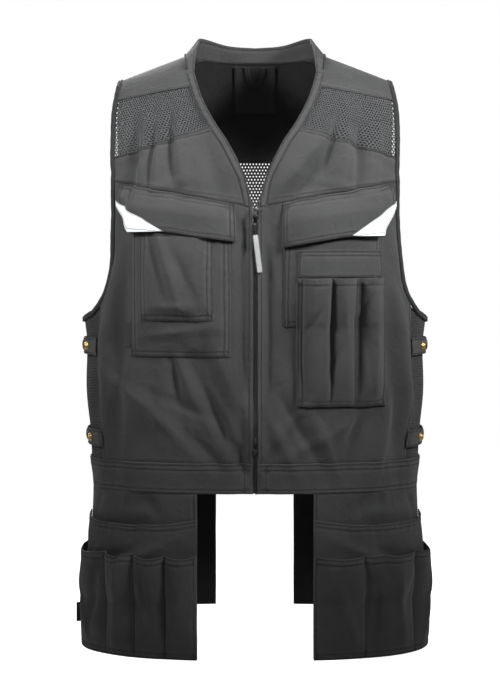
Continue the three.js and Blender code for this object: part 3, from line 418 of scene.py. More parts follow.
    def turn_at(self, x: Array, z: Array) -> Array:
        """Turn of a distance from the centre plane, at a height."""
        share = np.minimum(1, np.abs(x) / self.section(z)[0])
        return np.sign(x) * np.arcsin(share ** (self.roundness / 2))

    def neck_edge(self, z: Array, inset: float = 0.0) -> Array:
        """The V's edge as a distance from the centre plane, moved sideways by an inset."""
        def out(depth: Array) -> Array:
            """The edge before its inset."""
            return self.half_neck * self.v_edge.at(depth / self.v_depth)

        slope = (out(1 - z) - out(-1 - z)) / 2
        return np.maximum(out(-z), ZIP_EDGE) + inset * np.hypot(1, slope)

    def armhole(self, z: Array) -> Array:
        """The armhole's edge as a distance from the centre plane."""
        return self.half_shoulder * self.armhole_edge.at(-z / self.armhole_depth)

    def side_seam(self, z: Array) -> Array:
        """The side seam as a distance from the centre plane."""
        return self.side_seam_share * self.section(z)[0]

    @property
    def neck_at_ridge(self) -> float:
        """Half the neck's width where it crosses the ridge."""
        return float(settle(np.array(self.half_neck), lambda x: self.neck_edge(self.ridge(x))))

    def neck_at(self, climb: Array, inset: float) -> Array:
        """Half the neck's width at a climb, over the ridge and down behind."""
        behind = climb - math.pi / 2
        front = settle(
            np.full_like(climb, self.half_neck),
            lambda x: self.neck_edge(self.height_at(x, np.minimum(climb, math.pi / 2)), inset),
        )
        share = np.clip(behind / (self.back_neck_drop + inset / self.neck_arc), 0, 1)
        back = (self.neck_at_ridge + inset) * np.sqrt(np.maximum(0, 1 - share ** (2 / self.neck_curve)))
        return np.where(behind <= 0, front, back)

    def neck_climb(self, x: Array, inset: float) -> Array:
        """Climb of the back neck's edge at a distance from the centre plane."""
        share = np.minimum(1, np.abs(x) / (self.neck_at_ridge + inset))
        drop = self.back_neck_drop + inset / self.neck_arc
        return math.pi / 2 + drop * (1 - share * share) ** (self.neck_curve / 2)

    def armhole_at(self, climb: Array) -> Array:
        """The armhole's edge at a climb, the same in front and behind."""
        front = np.minimum(climb, math.pi - climb)
        start = np.full_like(front, self.half_shoulder)
        return settle(start, lambda x: self.armhole(self.height_at(x, front)))

    def armhole_path(self, side: Side, count: int) -> Pair:
        """The armhole's outline in even steps.

        Args:
            side: the wearer's side.
            count: number of steps round it.

        Returns:
            Points and normals in order, over the shoulder and then under the arm.
        """
        low = -(self.armhole_depth - self.chest_line) / self.chest_line
        depth = np.array(-self.armhole_depth)
        corner = float(self.turn_at(self.armhole(depth), depth))
        climb = np.linspace(low, math.pi - low, 600)
        over, over_n = self.on_shoulders(side.value * self.armhole_at(climb), climb)
        share = np.linspace(0, 1, 202)[1:-1]
        turn = lerp(math.pi - corner, corner, share)
        z = -self.armhole_depth - self.underarm_dip * np.sin(math.pi * share)
        under, under_n = self.on_torso(side.value * turn, z)
        points, normals = np.vstack([over, under, over[:1]]), np.vstack([over_n, under_n, over_n[:1]])
        run = run_of(points)
        marks = np.linspace(0, run[-1], count, endpoint=False)
        return read_at(points, run, marks), unit(read_at(normals, run, marks))

    def front_patch(self, side: Side, upper: Callable, lower: Callable, near: Callable, far: Callable) -> Place:
        """A patch of one front between two seam lines and two edges.

        Args:
            side: the wearer's side.
            upper: height of the upper seam at a distance from the centre plane.
            lower: height of the lower seam.
            near: inner edge as a distance at a height.
            far: outer edge.

        Returns:
            The place of each pair of shares.
        """
        def place(u: Array, v: Array) -> Pair:
            """Points and normals at shares across and down."""
            def height(x: Array) -> Array:
                """Height between the seams."""
                return lerp(upper(x) - SEAM_GAP / 2, lower(x) + SEAM_GAP / 2, v)

            low = settle(np.full_like(u + v, self.half_neck), lambda x: near(height(x)))
            high = settle(np.full_like(u + v, self.half_shoulder), lambda x: far(height(x)))
            x = lerp(low, high, u)
            return self.on_front(side.value * x, height(x))

        return place


BODY = Body()


def seam_line(inner: float, outer: float) -> Callable[[Array], Array]:
    """A straight seam across one front, by its depths at the zip and at the shoulder's width."""
    return lambda x: -lerp(inner, outer, (x - ZIP_EDGE) / (BODY.half_shoulder - ZIP_EDGE))


CHEST_SEAM = seam_line(204, 170)
NET_SEAM = seam_line(84, 139)
YOKE_SEAM = seam_line(36, 65)
BACK_NET_TOP = 137.0
BACK_NET_FOOT = 322.0
WAIST_TOP = -567.0 + 39.0


def armhole_cloth(z: Array) -> Array:
    """Where cloth ends inside the armhole's binding."""
    return BODY.armhole(z) - 1.5


def neck_cloth(z: Array) -> Array:
    """Where cloth ends at the neck band."""
    return BODY.neck_edge(z, BAND_WIDTH / 2)


def seam_cloth(z: Array) -> Array:
    """Where the fronts and back end, at the armhole or at the side seam."""
    return np.minimum(armhole_cloth(z), BODY.side_seam(z) - SEAM_GAP / 2)


def bulge(share: Array) -> Array:
    """How full a tube is across its width."""
    return np.sin(math.pi * np.clip(share, 0, 1)) ** 0.7


def fullness(u: Array, rooms: Sequence[tuple[float, float]]) -> Array:
    """How full a row of tubes is across a pocket, by where each one starts and ends."""
    return sum(bulge((u - a) / (b - a)) * ((u > a) & (u < b)) for a, b in rooms)


def swell(u: Array) -> Array:
    """How far a pocket stands off across its width."""
    return 1 - np.abs(2 * u - 1) ** 3


def fill(v: Array) -> Array:
    """How far a pocket stands off from its mouth to its foot."""
    return (1 - 0.65 * (1 - v) ** 2) * (1 - v**4)


def sockets(tree: Tree, inputs: dict[str, tuple[str, float | None]], outputs: dict[str, str]) -> None:
    """Gives a tree its named sockets.

    Args:
        tree: the tree.
        inputs: names, kinds and defaults of its inputs.
        outputs: names and kinds of its outputs.
    """
    for label, (kind, value) in inputs.items():
        socket = tree.interface.new_socket(name=label, in_out="INPUT", socket_type=kind)
        if value is not None:
            socket.default_value = value
    for label, kind in outputs.items():
        tree.interface.new_socket(name=label, in_out="OUTPUT", socket_type=kind)


def shader_group(name: str, inputs: dict[str, float | None], outputs: Sequence[str]) -> tuple[Tree, Any, Any]:
    """A new shader group.

    Args:
        name: its name.
        inputs: names and defaults of its numbers, with None for a place.
        outputs: names of the numbers that it puts out.

    Returns:
        The tree, what comes in and what goes out.
    """
    tree = bpy.data.node_groups.new(name, "ShaderNodeTree")
    kinds = {label: (VECTOR if value is None else NUMBER, value) for label, value in inputs.items()}
    sockets(tree, kinds, dict.fromkeys(outputs, NUMBER))
    return tree, tree.nodes.new("NodeGroupInput").outputs, tree.nodes.new("NodeGroupOutput").inputs


def calc(tree: Tree, kind: str, *values: float | Socket) -> Socket:
    """A Math node.

    Args:
        tree: the tree that gets it.
        kind: the operation.
        values: its numbers or sockets, in order.

    Returns:
        The node's output.
    """
    node = tree.nodes.new("ShaderNodeMath")
    node.operation = kind
    for value, socket in zip(values, node.inputs):
        if isinstance(value, Socket):
            tree.links.new(value, socket)
        else:
            socket.default_value = value
    return node.outputs[0]


def noises(tree: Tree, into: Any, out: Any, rows: Sequence[tuple[str, str, float]]) -> None:
    """Noise textures inside a group, from rows of output, scale's input and detail."""
    for label, scale, detail in rows:
        noise = tree.nodes.new("ShaderNodeTexNoise")
        noise.inputs["Detail"].default_value = detail
        tree.links.new(into["Place"], noise.inputs["Vector"])
        tree.links.new(into[scale], noise.inputs["Scale"])
        tree.links.new(noise.outputs[0], out[label])


@cache
def woven_threads() -> Tree:
    """A woven cloth's threads: their height, and which set of threads lies on top."""
    inputs = {"Place": None, "Pitch": 0.0009, "Slant": 0.5}
    tree, into, out = shader_group("woven_threads", inputs, ("Height", "Top"))
    split = tree.nodes.new("ShaderNodeSeparateXYZ")
    tree.links.new(into["Place"], split.inputs[0])

    def wave(place: Socket) -> Socket:
        """Rises or falls once a thread."""
        return calc(tree, "SINE", calc(tree, "MULTIPLY", place, math.pi))

    across = calc(tree, "DIVIDE", split.outputs[0], into["Pitch"])
    down = calc(tree, "DIVIDE", split.outputs[1], into["Pitch"])
    leaning = calc(tree, "MULTIPLY_ADD", down, into["Slant"], across)
    top = calc(tree, "MULTIPLY_ADD", wave(leaning), 0.5, 0.5)
    over = calc(tree, "MULTIPLY", calc(tree, "ABSOLUTE", wave(across)), top)
    under = calc(tree, "MULTIPLY", calc(tree, "ABSOLUTE", wave(down)), calc(tree, "SUBTRACT", 1.0, top))
    tree.links.new(calc(tree, "MAXIMUM", over, under), out["Height"])
    tree.links.new(top, out["Top"])
    return tree


@cache
def cloth_tone() -> Tree:
    """A cloth's changes of tone: soft clouds, the fleck of its yarn, and its small rumples."""
    inputs = {"Place": None, "Cloud": 14.0, "Fleck": 700.0}
    tree, into, out = shader_group("cloth_tone", inputs, ("Clouds", "Flecks", "Rumple"))
    noises(tree, into, out, (("Clouds", "Cloud", 3.0), ("Flecks", "Fleck", 1.0)))
    rumple = tree.nodes.new("ShaderNodeTexNoise")
    rumple.inputs["Detail"].default_value = 2.0
    rumple.inputs["Distortion"].default_value = 0.6
    tree.links.new(into["Place"], rumple.inputs["Vector"])
    tree.links.new(calc(tree, "MULTIPLY", into["Cloud"], 5.0), rumple.inputs["Scale"])
    tree.links.new(rumple.outputs[0], out["Rumple"])
    return tree


@cache
def sewn_seam() -> Tree:
    """Painted light near a seam: a dark groove of painted shade, and a paler ridge beside it that is a painted
    highlight.
    """
    inputs = {"Distance": 20.0, "Groove": 1.1, "Reach": 4.0}
    tree, into, out = shader_group("sewn_seam", inputs, ("Groove", "Ridge"))

    def hump(reach: str) -> Socket:
        """1 at the seam, falling away over a reach."""
        near = calc(tree, "DIVIDE", into["Distance"], into[reach])
        return calc(tree, "EXPONENT", calc(tree, "MULTIPLY", near, calc(tree, "MULTIPLY", near, -1.0)))

    groove = hump("Groove")
    tree.links.new(groove, out["Groove"])
    tree.links.new(calc(tree, "SUBTRACT", hump("Reach"), groove), out["Ridge"])
    return tree


@cache
def handled_metal() -> Tree:
    """Handling marks on metal: fine scratches and dull patches."""
    inputs = {"Place": None, "Patch": 260.0, "Scratch": 1800.0}
    tree, into, out = shader_group("handled_metal", inputs, ("Patches", "Scratches"))
    noises(tree, into, out, (("Patches", "Patch", 3.0), ("Scratches", "Scratch", 1.0)))
    return tree


def grouped(tree: Tree, group: Tree, values: dict[str, float], **linked: Socket) -> Any:
    """Puts a group into a material's tree.

    Args:
        tree: the material's tree.
        group: the group.
        values: the group's constant inputs.
        linked: sockets to join to its inputs, by name.

    Returns:
        The group's outputs.
    """
    node = tree.nodes.new("ShaderNodeGroup")
    node.node_tree = group
    for name, value in values.items():
        node.inputs[name].default_value = value
    for name, socket in linked.items():
        tree.links.new(socket, node.inputs[name])
    return node.outputs


def blank_material(name: str) -> tuple[bpy.types.Material, bpy.types.Node]:
    """A new material with its principled shader."""
    material = bpy.data.materials.new(name)
    material.use_nodes = True
    return material, material.node_tree.nodes["Principled BSDF"]


def ramp(tree: Tree, factor: Socket, dark: Sequence[float], light: Sequence[float]) -> Socket:
    """A mix of two colours.

    Args:
        tree: the material's tree.
        factor: socket with the share of the second colour.
        dark: first colour, linear.
        light: second colour, linear.

    Returns:
        The colour.
    """
    mix = tree.nodes.new("ShaderNodeMix")
    mix.data_type = "RGBA"
    mix.inputs["A"].default_value = (*dark, 1)
    mix.inputs["B"].default_value = (*light, 1)
    tree.links.new(factor, mix.inputs["Factor"])
    return mix.outputs["Result"]


def bump(tree: Tree, height: Socket, strength: float, distance: float) -> bpy.types.Node:
    """A Bump node over a height."""
    node = tree.nodes.new("ShaderNodeBump")
    node.inputs["Strength"].default_value = strength
    node.inputs["Distance"].default_value = distance
    tree.links.new(height, node.inputs["Height"])
    return node


@dataclass(frozen=True)
class ClothFinish:
    """A woven or knitted finish, with the sizes of its yarn."""

    name: str
    slot: str
    dark: Colour
    light: Colour
    pitch: float = 0.0009
    slant: float = 1.0
    relief: float = 0.5
    rumple: float = 0.6
    rough: tuple[float, float] = (0.74, 0.92)
    sheen: float = 0.07
    specular: float = 0.3

    @cache
    def material(self) -> bpy.types.Material:
        """The finish's material, made when it is first asked for."""
        material, shader = blank_material(self.name)
        tree, links = material.node_tree, material.node_tree.links
        place = tree.nodes.new("ShaderNodeTexCoord").outputs["Object"]
        woven = tree.nodes.new("ShaderNodeUVMap")
        woven.uv_map = "cloth"
        seam = tree.nodes.new("ShaderNodeAttribute")
        seam.attribute_name = "seam"
        sizes = {"Pitch": self.pitch, "Slant": self.slant}
        threads = grouped(tree, woven_threads(), sizes, Place=woven.outputs[0])
        tones = grouped(tree, cloth_tone(), {}, Place=place)
        sewn = grouped(tree, sewn_seam(), {}, Distance=seam.outputs["Fac"])
        shade = 0.1
        # Beside each seam the group's Ridge output lightens the cloth as a painted highlight and its Groove output
        # darkens it as painted shade; threads, clouds and flecks are the cloth's own tone.
        for value, share in (
            (threads["Height"], 0.35), (tones["Clouds"], 0.55), (tones["Flecks"], 0.3), (sewn["Ridge"], 0.28),
            (sewn["Groove"], -0.6),
        ):
            shade = calc(tree, "MULTIPLY_ADD", value, share, shade)
        factor = calc(tree, "MAXIMUM", calc(tree, "MINIMUM", calc(tree, "SUBTRACT", shade, 0.2), 1.0), 0.0)
        links.new(ramp(tree, factor, self.dark, self.light), shader.inputs["Base Color"])
        low, high = self.rough
        links.new(calc(tree, "MULTIPLY_ADD", tones["Flecks"], high - low, low), shader.inputs["Roughness"])
        shader.inputs["Sheen Weight"].default_value = self.sheen
        shader.inputs["Sheen Roughness"].default_value = 0.45
        shader.inputs["Specular IOR Level"].default_value = self.specular
        fine = bump(tree, threads["Height"], self.relief, 0.0004)
        broad = bump(tree, tones["Rumple"], self.rumple, 0.0022)
        links.new(fine.outputs[0], broad.inputs["Normal"])
        links.new(broad.outputs[0], shader.inputs["Normal"])
        return material


@dataclass(frozen=True)
class MetalFinish:
    """A metal finish that shows where it is handled."""

    name: str
    slot: str
    dark: Colour
    light: Colour
    rough: tuple[float, float] = (0.28, 0.5)
    metallic: float = 1.0

    @cache
    def material(self) -> bpy.types.Material:
        """The finish's material, made when it is first asked for."""
        material, shader = blank_material(self.name)
        tree, links = material.node_tree, material.node_tree.links
        place = tree.nodes.new("ShaderNodeTexCoord").outputs["Object"]
        marks = grouped(tree, handled_metal(), {}, Place=place)
        links.new(ramp(tree, marks["Patches"], self.dark, self.light), shader.inputs["Base Color"])
        low, high = self.rough
        links.new(calc(tree, "MULTIPLY_ADD", marks["Scratches"], high - low, low), shader.inputs["Roughness"])
        shader.inputs["Metallic"].default_value = self.metallic
        links.new(bump(tree, marks["Scratches"], 0.15, 0.0002).outputs[0], shader.inputs["Normal"])
        return material

Finish = ClothFinish | MetalFinish
CANVAS = ClothFinish("dark_canvas", "canvas", (0.0055, 0.0056, 0.0058), (0.0365, 0.037, 0.0377))
LINING = ClothFinish("black_lining", "black", (0.0022, 0.0022, 0.0025), (0.009, 0.0092, 0.01), relief=0.3)
LABEL = ClothFinish("black_label", "black", (0.005, 0.005, 0.006), (0.02, 0.02, 0.022), 0.0005, 0, 0.4, 0.15)
# The knitted net is one material in two tones: NET, the lighter copy, stands in for the light on the shoulders as a
# painted highlight, and the darker copy below stands in for the shade at the sides and back as painted shade.
NET = ClothFinish("net_painted_light", "net", (0.03, 0.031, 0.032), (0.11, 0.112, 0.114), 0.0007, 0, 0.5, 0.2)
NET_PAINTED_SHADE = ClothFinish(
    "net_painted_shade", "net", (0.008, 0.0082, 0.0085), (0.034, 0.035, 0.036), 0.0007, 0, 0.5, 0.2
)
TAPE = ClothFinish("ribbed_tape", "tape", (0.006, 0.0062, 0.0065), (0.022, 0.0225, 0.023), 0.0011, 0, 0.7, 0.2)
THREAD = ClothFinish(
    "sewing_thread", "canvas", (0.012, 0.0122, 0.0125), (0.055, 0.056, 0.057), 0.0004, 1, 0.6, 0
)
SILVER = ClothFinish(
    "silver_reflective", "reflective", (0.28, 0.29, 0.3), (0.62, 0.63, 0.64), 0.0006, 0, 0.25, 0.25,
    (0.35, 0.55), 0, 0.6,
)
PULL = ClothFinish(
    "grey_reflective", "reflective", (0.05, 0.052, 0.055), (0.27, 0.275, 0.28), 0.0011, 0, 0.6, 0.25,
    (0.4, 0.6), 0, 0.5,
)
PALE_THREAD = ClothFinish("pale_thread", "reflective", (0.03, 0.03, 0.03), (0.1, 0.1, 0.105), 0.0004, 1, 0.5, 0)
BRASS = MetalFinish("satin_brass", "brass", (0.25, 0.17, 0.05), (0.62, 0.46, 0.2))
DARK_METAL = MetalFinish("black_metal", "dark_metal", (0.012, 0.012, 0.013), (0.05, 0.05, 0.052), (0.3, 0.55), 0.7)


def placed(name: str, data: bpy.types.ID) -> Thing:
    """A new object of the scene, at the origin."""
    made = bpy.data.objects.new(name, data)
    bpy.context.scene.collection.objects.link(made)
    return made


def mesh_object(name: str, points: Array, faces: Sequence, material: bpy.types.Material) -> Thing:
    """A smooth closed mesh from points in millimetres.

    Args:
        name: the piece's name.
        points: one point in each row.
        faces: corner numbers of each face.
        material: its material.

    Returns:
        The object, at the origin.
    """
    mesh = bpy.data.meshes.new(name)
    mesh.from_pydata((np.asarray(points) * MM).tolist(), [], [list(f) for f in faces])
    work = bmesh.new()
    work.from_mesh(mesh)
    if work.calc_volume(signed=True) < 0:
        bmesh.ops.reverse_faces(work, faces=work.faces)
    work.to_mesh(mesh)
    work.free()
    mesh.shade_smooth()
    mesh.materials.append(material)
    return placed(name, mesh)


def own(piece: Thing, finish: Finish, nodes: Sequence[str] = (), body: str = "vest") -> Thing:
    """Says what a piece rides on, what it stands for and where its finish comes from.

    Args:
        piece: the finished piece.
        finish: its finish.
        nodes: the nodes that it replaces.
        body: the body that it rides on.

    Returns:
        The piece.
    """
    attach(piece, body)
    if nodes:
        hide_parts(*nodes)
    faces = len(piece.data.polygons)
    log.info("%s: %d faces, finish %s", piece.name, faces, finish.name)
    return piece


def socket_of(tree: Tree, name: str) -> str:
    """Identifier of a tree's named input."""
    return next(s.identifier for s in tree.interface.items_tree if s.name == name and s.in_out == "INPUT")


def baked(host: Thing, name: str) -> Thing:
    """The result of an object's modifiers as a plain mesh object, with the host removed.

    Args:
        host: the object with its modifiers.
        name: the new object's name.

    Returns:
        The new object, at the origin.
    """
    mesh = bpy.data.meshes.new_from_object(host.evaluated_get(bpy.context.evaluated_depsgraph_get()))
    mesh.name = name
    bpy.data.objects.remove(host)
    return placed(name, mesh)


class Copy(Enum):
    """The small shapes that are laid along a path."""


    STITCH = "GeometryNodeMeshUVSphere"
    TOOTH = "GeometryNodeMeshCube"


def link(tree: Tree, *pairs: tuple[Socket, Socket]) -> None:
    """Joins outputs to inputs."""
    for start, end in pairs:
        tree.links.new(start, end)


def repeat_tree(name: str, sizes: dict[str, float]) -> tuple[Tree, Any]:
    """A new tree over a path or cloth, with its named sizes and what comes in."""
    tree = bpy.data.node_groups.new(name, "GeometryNodeTree")
    inputs = {"Path": (GEOMETRY, None), **{label: (NUMBER, value) for label, value in sizes.items()}}
    sockets(tree, {**inputs, "Material": ("NodeSocketMaterial", None)}, {"Made": GEOMETRY})
    return tree, tree.nodes.new("NodeGroupInput").outputs


def ended(tree: Tree, geometry: Socket, material: Socket) -> None:
    """Ends a tree with its instances realized and its material set."""
    real = tree.nodes.new("GeometryNodeRealizeInstances")
    coated = tree.nodes.new("GeometryNodeSetMaterial")
    out = tree.nodes.new("NodeGroupOutput")
    link(
        tree,
        (geometry, real.inputs[0]), (real.outputs[0], coated.inputs["Geometry"]),
        (material, coated.inputs["Material"]), (coated.outputs[0], out.inputs["Made"]),
    )


@cache
def copies_along(name: str, shape: Copy) -> Tree:
    """A tree that lays copies of a small shape along paths, turned to follow them.

    Args:
        name: the tree's name.
        shape: what is laid.

    Returns:
        The tree.
    """
    tree, into = repeat_tree(name, {"Pitch": 0.003, "Length": 0.0022, "Width": 0.0006, "Height": 0.0005})
    add = tree.nodes.new
    curve, even = add("GeometryNodeMeshToCurve"), add("GeometryNodeResampleCurve")
    even.mode = "LENGTH"
    copy = add(shape.value)
    if shape is Copy.STITCH:
        for label, value in (("Segments", 5), ("Rings", 4), ("Radius", 0.5)):
            copy.inputs[label].default_value = value
    size, shaped = add("ShaderNodeCombineXYZ"), add("GeometryNodeTransform")
    tangent, turn = add("GeometryNodeInputTangent"), add("FunctionNodeAlignRotationToVector")
    turn.axis = "Z"
    copies = add("GeometryNodeInstanceOnPoints")
    link(
        tree,
        (into["Path"], curve.inputs[0]), (curve.outputs[0], even.inputs["Curve"]),
        (into["Pitch"], even.inputs["Length"]), (into["Width"], size.inputs[0]),
        (into["Height"], size.inputs[1]), (into["Length"], size.inputs[2]),
        (copy.outputs["Mesh"], shaped.inputs["Geometry"]), (size.outputs[0], shaped.inputs["Scale"]),
        (tangent.outputs[0], turn.inputs["Vector"]), (even.outputs[0], copies.inputs["Points"]),
        (shaped.outputs[0], copies.inputs["Instance"]), (turn.outputs[0], copies.inputs["Rotation"]),
    )
    ended(tree, copies.outputs[0], into["Material"])
    return tree


@cache
def pierced_cloth() -> Tree:
    """A tree that opens a hole in each face of a cloth and leaves the strands round it."""
    tree, into = repeat_tree("pierced_cloth", {"Hole": 0.5})
    raised = tree.nodes.new("GeometryNodeExtrudeMesh")
    raised.mode = "FACES"
    raised.inputs["Offset Scale"].default_value = 0.0
    raised.inputs["Individual"].default_value = True
    shrunk = tree.nodes.new("GeometryNodeScaleElements")
    opened = tree.nodes.new("GeometryNodeDeleteGeometry")
    opened.domain = "FACE"
    opened.mode = "ONLY_FACE"
    link(
        tree,
        (into["Path"], raised.inputs["Mesh"]), (raised.outputs["Mesh"], shrunk.inputs["Geometry"]),
        (raised.outputs["Top"], shrunk.inputs["Selection"]), (into["Hole"], shrunk.inputs["Scale"]),
        (shrunk.outputs[0], opened.inputs["Geometry"]), (raised.outputs["Top"], opened.inputs["Selection"]),
    )
    ended(tree, opened.outputs[0], into["Material"])
    return tree


def run_tree(host: Thing, tree: Tree, name: str, values: dict[str, Any]) -> Thing:
    """Runs a tree on a host and keeps the plain mesh.

    Args:
        host: the object that the tree reads.
        tree: the tree.
        name: the new piece's name.
        values: the tree's inputs by name.

    Returns:
        The new piece.
    """
    modifier = host.modifiers.new("repeat", "NODES")
    modifier.node_group = tree
    for label, value in values.items():
        modifier[socket_of(tree, label)] = value
    return baked(host, name)


def paths(name: str, lines: Sequence[Array]) -> Thing:
    """An object of open lines, from points in millimetres."""
    edges, start = [], 0
    for line in lines:
        edges += [(start + i, start + i + 1) for i in range(len(line) - 1)]
        start += len(line)
    mesh = bpy.data.meshes.new(name)
    mesh.from_pydata((np.vstack(lines) * MM).tolist(), edges, [])
    return placed(name, mesh)


def declare(
    size: tuple[float, float], held: Held, rests_on: Sequence[str]
) -> None:
    """Takes a sheet's flat size, how it is held and the nodes it rests on, and keeps none of them.

    Args:
        size: its flat width and length, in millimetres; not used.
        held: how it is held; not used.
        rests_on: the nodes that it rests on.
    """
    list(rests_on)


@dataclass
class Sewing:
    """The stitch lines of the whole vest, kept by piece until they are sewn."""

    pitch: float = 3.1
    length: float = 2.3
    width: float = 0.75
    lines: dict[str, list[Array]] = field(default_factory=dict)

    def add(self, name: str, line: Array) -> None:
        """Keeps one line of points for a named row of stitches."""
        self.lines.setdefault(name, []).append(line)

    def sew(self) -> None:
        """Makes each named group of lines one piece of stitches."""
        tree = copies_along("stitches_along_a_seam", Copy.STITCH)
        for name, lines in self.lines.items():
            thread = PALE_THREAD if name == "reflectors" else THREAD
            values = {
                "Pitch": self.pitch * MM, "Length": self.length * MM, "Width": self.width * MM,
                "Height": self.width * MM, "Material": thread.material(),
            }
            piece = run_tree(paths(name, lines), tree, "stitches_" + name, values)
            piece.data.shade_smooth()
            own(piece, thread)


SEWING = Sewing()


@dataclass(frozen=True)
class Crease:
    """A soft fold in one cloth, by its place as shares and its size in millimetres."""

    u: float
    v: float
    long: float
    wide: float
    lean: float
    stand: float

    def raised(self, x: Array, y: Array, width: float, length: float) -> Array:
        """How far the fold lifts the cloth at distances across and down."""
        angle = math.radians(self.lean)
        across, down = x - self.u * width, y - self.v * length
        along = (down * math.cos(angle) + across * math.sin(angle)) / self.long
        aside = (across * math.cos(angle) - down * math.sin(angle)) / self.wide
        return self.stand * np.exp(-along * along - aside * aside)


@dataclass
class Cloth:
    """One sheet of cloth over a place, with its hems, stitch lines and small rumples."""

    name: str
    place: Place
    finish: ClothFinish
    nodes: tuple[str, ...]
    inner: Amount = 0.0
    thick: Amount = CLOTH
    step: float = 3.0
    hems: dict[Edge, float] = field(default_factory=dict)
    hem_rise: float = 0.7
    tucks: dict[Edge, float] = field(default_factory=dict)
    creases: tuple[Crease, ...] = ()
    rows: tuple[tuple[Edge, float], ...] = ()
    lines: tuple[Callable[[Array], Pair], ...] = ()
    group: str = ""
    rumple: float = 0.0
    seed: float = 0.0
    held: Held = Held.HUNG
    rests_on: tuple[str, ...] = ()
    extra_columns: tuple[float, ...] = ()
    round_edge: float = 0.8
    pucker: float = 0.5
    sheet: bool = True
    flat: tuple[float, float] = (0.0, 0.0)

    def value(self, amount: Amount, u: Array, v: Array) -> Array:
        """An amount that may be constant or a function of the shares."""
        return amount(u, v) if callable(amount) else amount + 0 * u

    def measure(self) -> tuple[float, float]:
        """The sheet's greatest width and length over its place, in millimetres."""
        u, v = np.meshgrid(np.linspace(0, 1, 25), np.linspace(0, 1, 25))
        points = self.place(u, v)[0]
        width = np.linalg.norm(np.diff(points, axis=1), axis=-1).sum(axis=1).max()
        length = np.linalg.norm(np.diff(points, axis=0), axis=-1).sum(axis=0).max()
        return float(width), float(length)

    def stand_off(self, u: Array, v: Array) -> Pair:
        """The distances of the cloth's two faces off the body.

        Args:
            u: shares across.
            v: shares down.

        Returns:
            The inner and the outer distance.
        """
        width, length = self.flat
        inner = self.value(self.inner, u, v)
        thick = self.value(self.thick, u, v)
        away = {INNER: u * width, OUTER: (1 - u) * width, TOP: v * length, FOOT: (1 - v) * length}
        for edge, deep in self.hems.items():
            thick = thick + self.hem_rise * (1 - ease(deep - 0.8, deep + 0.8, away[edge]))
        for edge, deep in self.tucks.items():
            inner = inner - TUCK * (1 - ease(deep - 1.5, deep + 1.5, away[edge]))
        x, y = u * width, v * length
        calm = ease(0, 14, np.minimum(away[INNER], away[OUTER])) * ease(0, 14, away[FOOT])
        for crease in self.creases:
            inner = inner + calm * crease.raised(x, y, width, length)
        if self.rumple:
            wave = np.sin(x / 14 + self.seed + 1.2 * np.sin(y / 31 + self.seed))
            wave = wave * np.sin(y / 21 + 2 * self.seed + 0.8 * np.sin(x / 37))
            wave = wave + 0.5 * np.sin((x + y) / 9 + 3 * self.seed) * np.sin((y - 0.6 * x) / 17)
            inner = inner + self.rumple * calm * (wave + 0.9)
        edge = np.minimum.reduce(list(away.values()))
        thin = 1 - ease(0, self.round_edge, edge)
        return inner + 0.3 * thin * thick, inner + thick * (1 - 0.3 * thin)

    def outline(self, u: Array, v: Array) -> Array:
        """Points on the cloth's outer face."""
        points, normals = self.place(u, v)
        return points + normals * self.stand_off(u, v)[1][..., None]

    def row(self, edge: Edge, inset: float) -> Array:
        """A row of stitches along an edge.

        Args:
            edge: the edge that it follows.
            inset: its distance inside the edge, in millimetres.

        Returns:
            Points on the outer face.
        """
        width, length = self.flat
        along = np.linspace(0, 1, 80)
        margin = 1.5
        if edge in (TOP, FOOT):
            across = lerp(margin / width, 1 - margin / width, along)
            down = inset / length if edge is TOP else 1 - inset / length
            return self.outline(across, np.full_like(across, down))
        down = lerp(margin / length, 1 - margin / length, along)
        across = inset / width if edge is INNER else 1 - inset / width
        return self.outline(np.full_like(down, across), down)

    def build(self) -> Thing:
        """Makes the cloth's mesh, with its map, its seam distances and its stitch lines."""
        self.flat = self.measure()
        width, length = self.flat
        across = self.shares(width, self.extra_columns)
        down = self.shares(length, ())
        u, v = np.meshgrid(across, down)
        points, normals = self.place(u, v)
        near, far = self.stand_off(u, v)
        sewn = [self.row(edge, inset) for edge, inset in self.rows]
        sewn += [self.outline(*line(np.linspace(0, 1, 80))) for line in self.lines]
        outer = points + normals * far[..., None]
        inner = points + normals * near[..., None]
        seam = np.full(u.shape, 20.0)
        if sewn:
            seam, run = self.nearest(outer, sewn)
            dip = -self.pucker * np.exp(-((seam / 1.4) ** 2))
            dip = dip + 0.5 * self.pucker * np.sin(run / 2.1 + self.seed) * np.exp(-((seam / 4.5) ** 2))
            outer = outer + normals * dip[..., None]
            for line in sewn:
                SEWING.add(self.group or self.name, line)
        piece = self.mesh(inner, outer, seam)
        own(piece, self.finish, self.nodes)
        if not self.sheet:
            return piece
        declare(self.flat, self.held, self.rests_on)
        return piece

    def shares(self, length: float, extra: Sequence[float]) -> Array:
        """Shares along one direction: even steps, close pairs at the edges, and chosen extras."""
        count = max(2, math.ceil(length / self.step))
        edge = min(self.round_edge / length, 0.2)
        marks = np.r_[np.linspace(0, 1, count + 1), edge, edge / 2, 1 - edge, 1 - edge / 2, list(extra)]
        marks = np.unique(np.round(marks, 6))
        keep = np.r_[True, np.diff(marks) > 1e-4]
        return marks[keep]

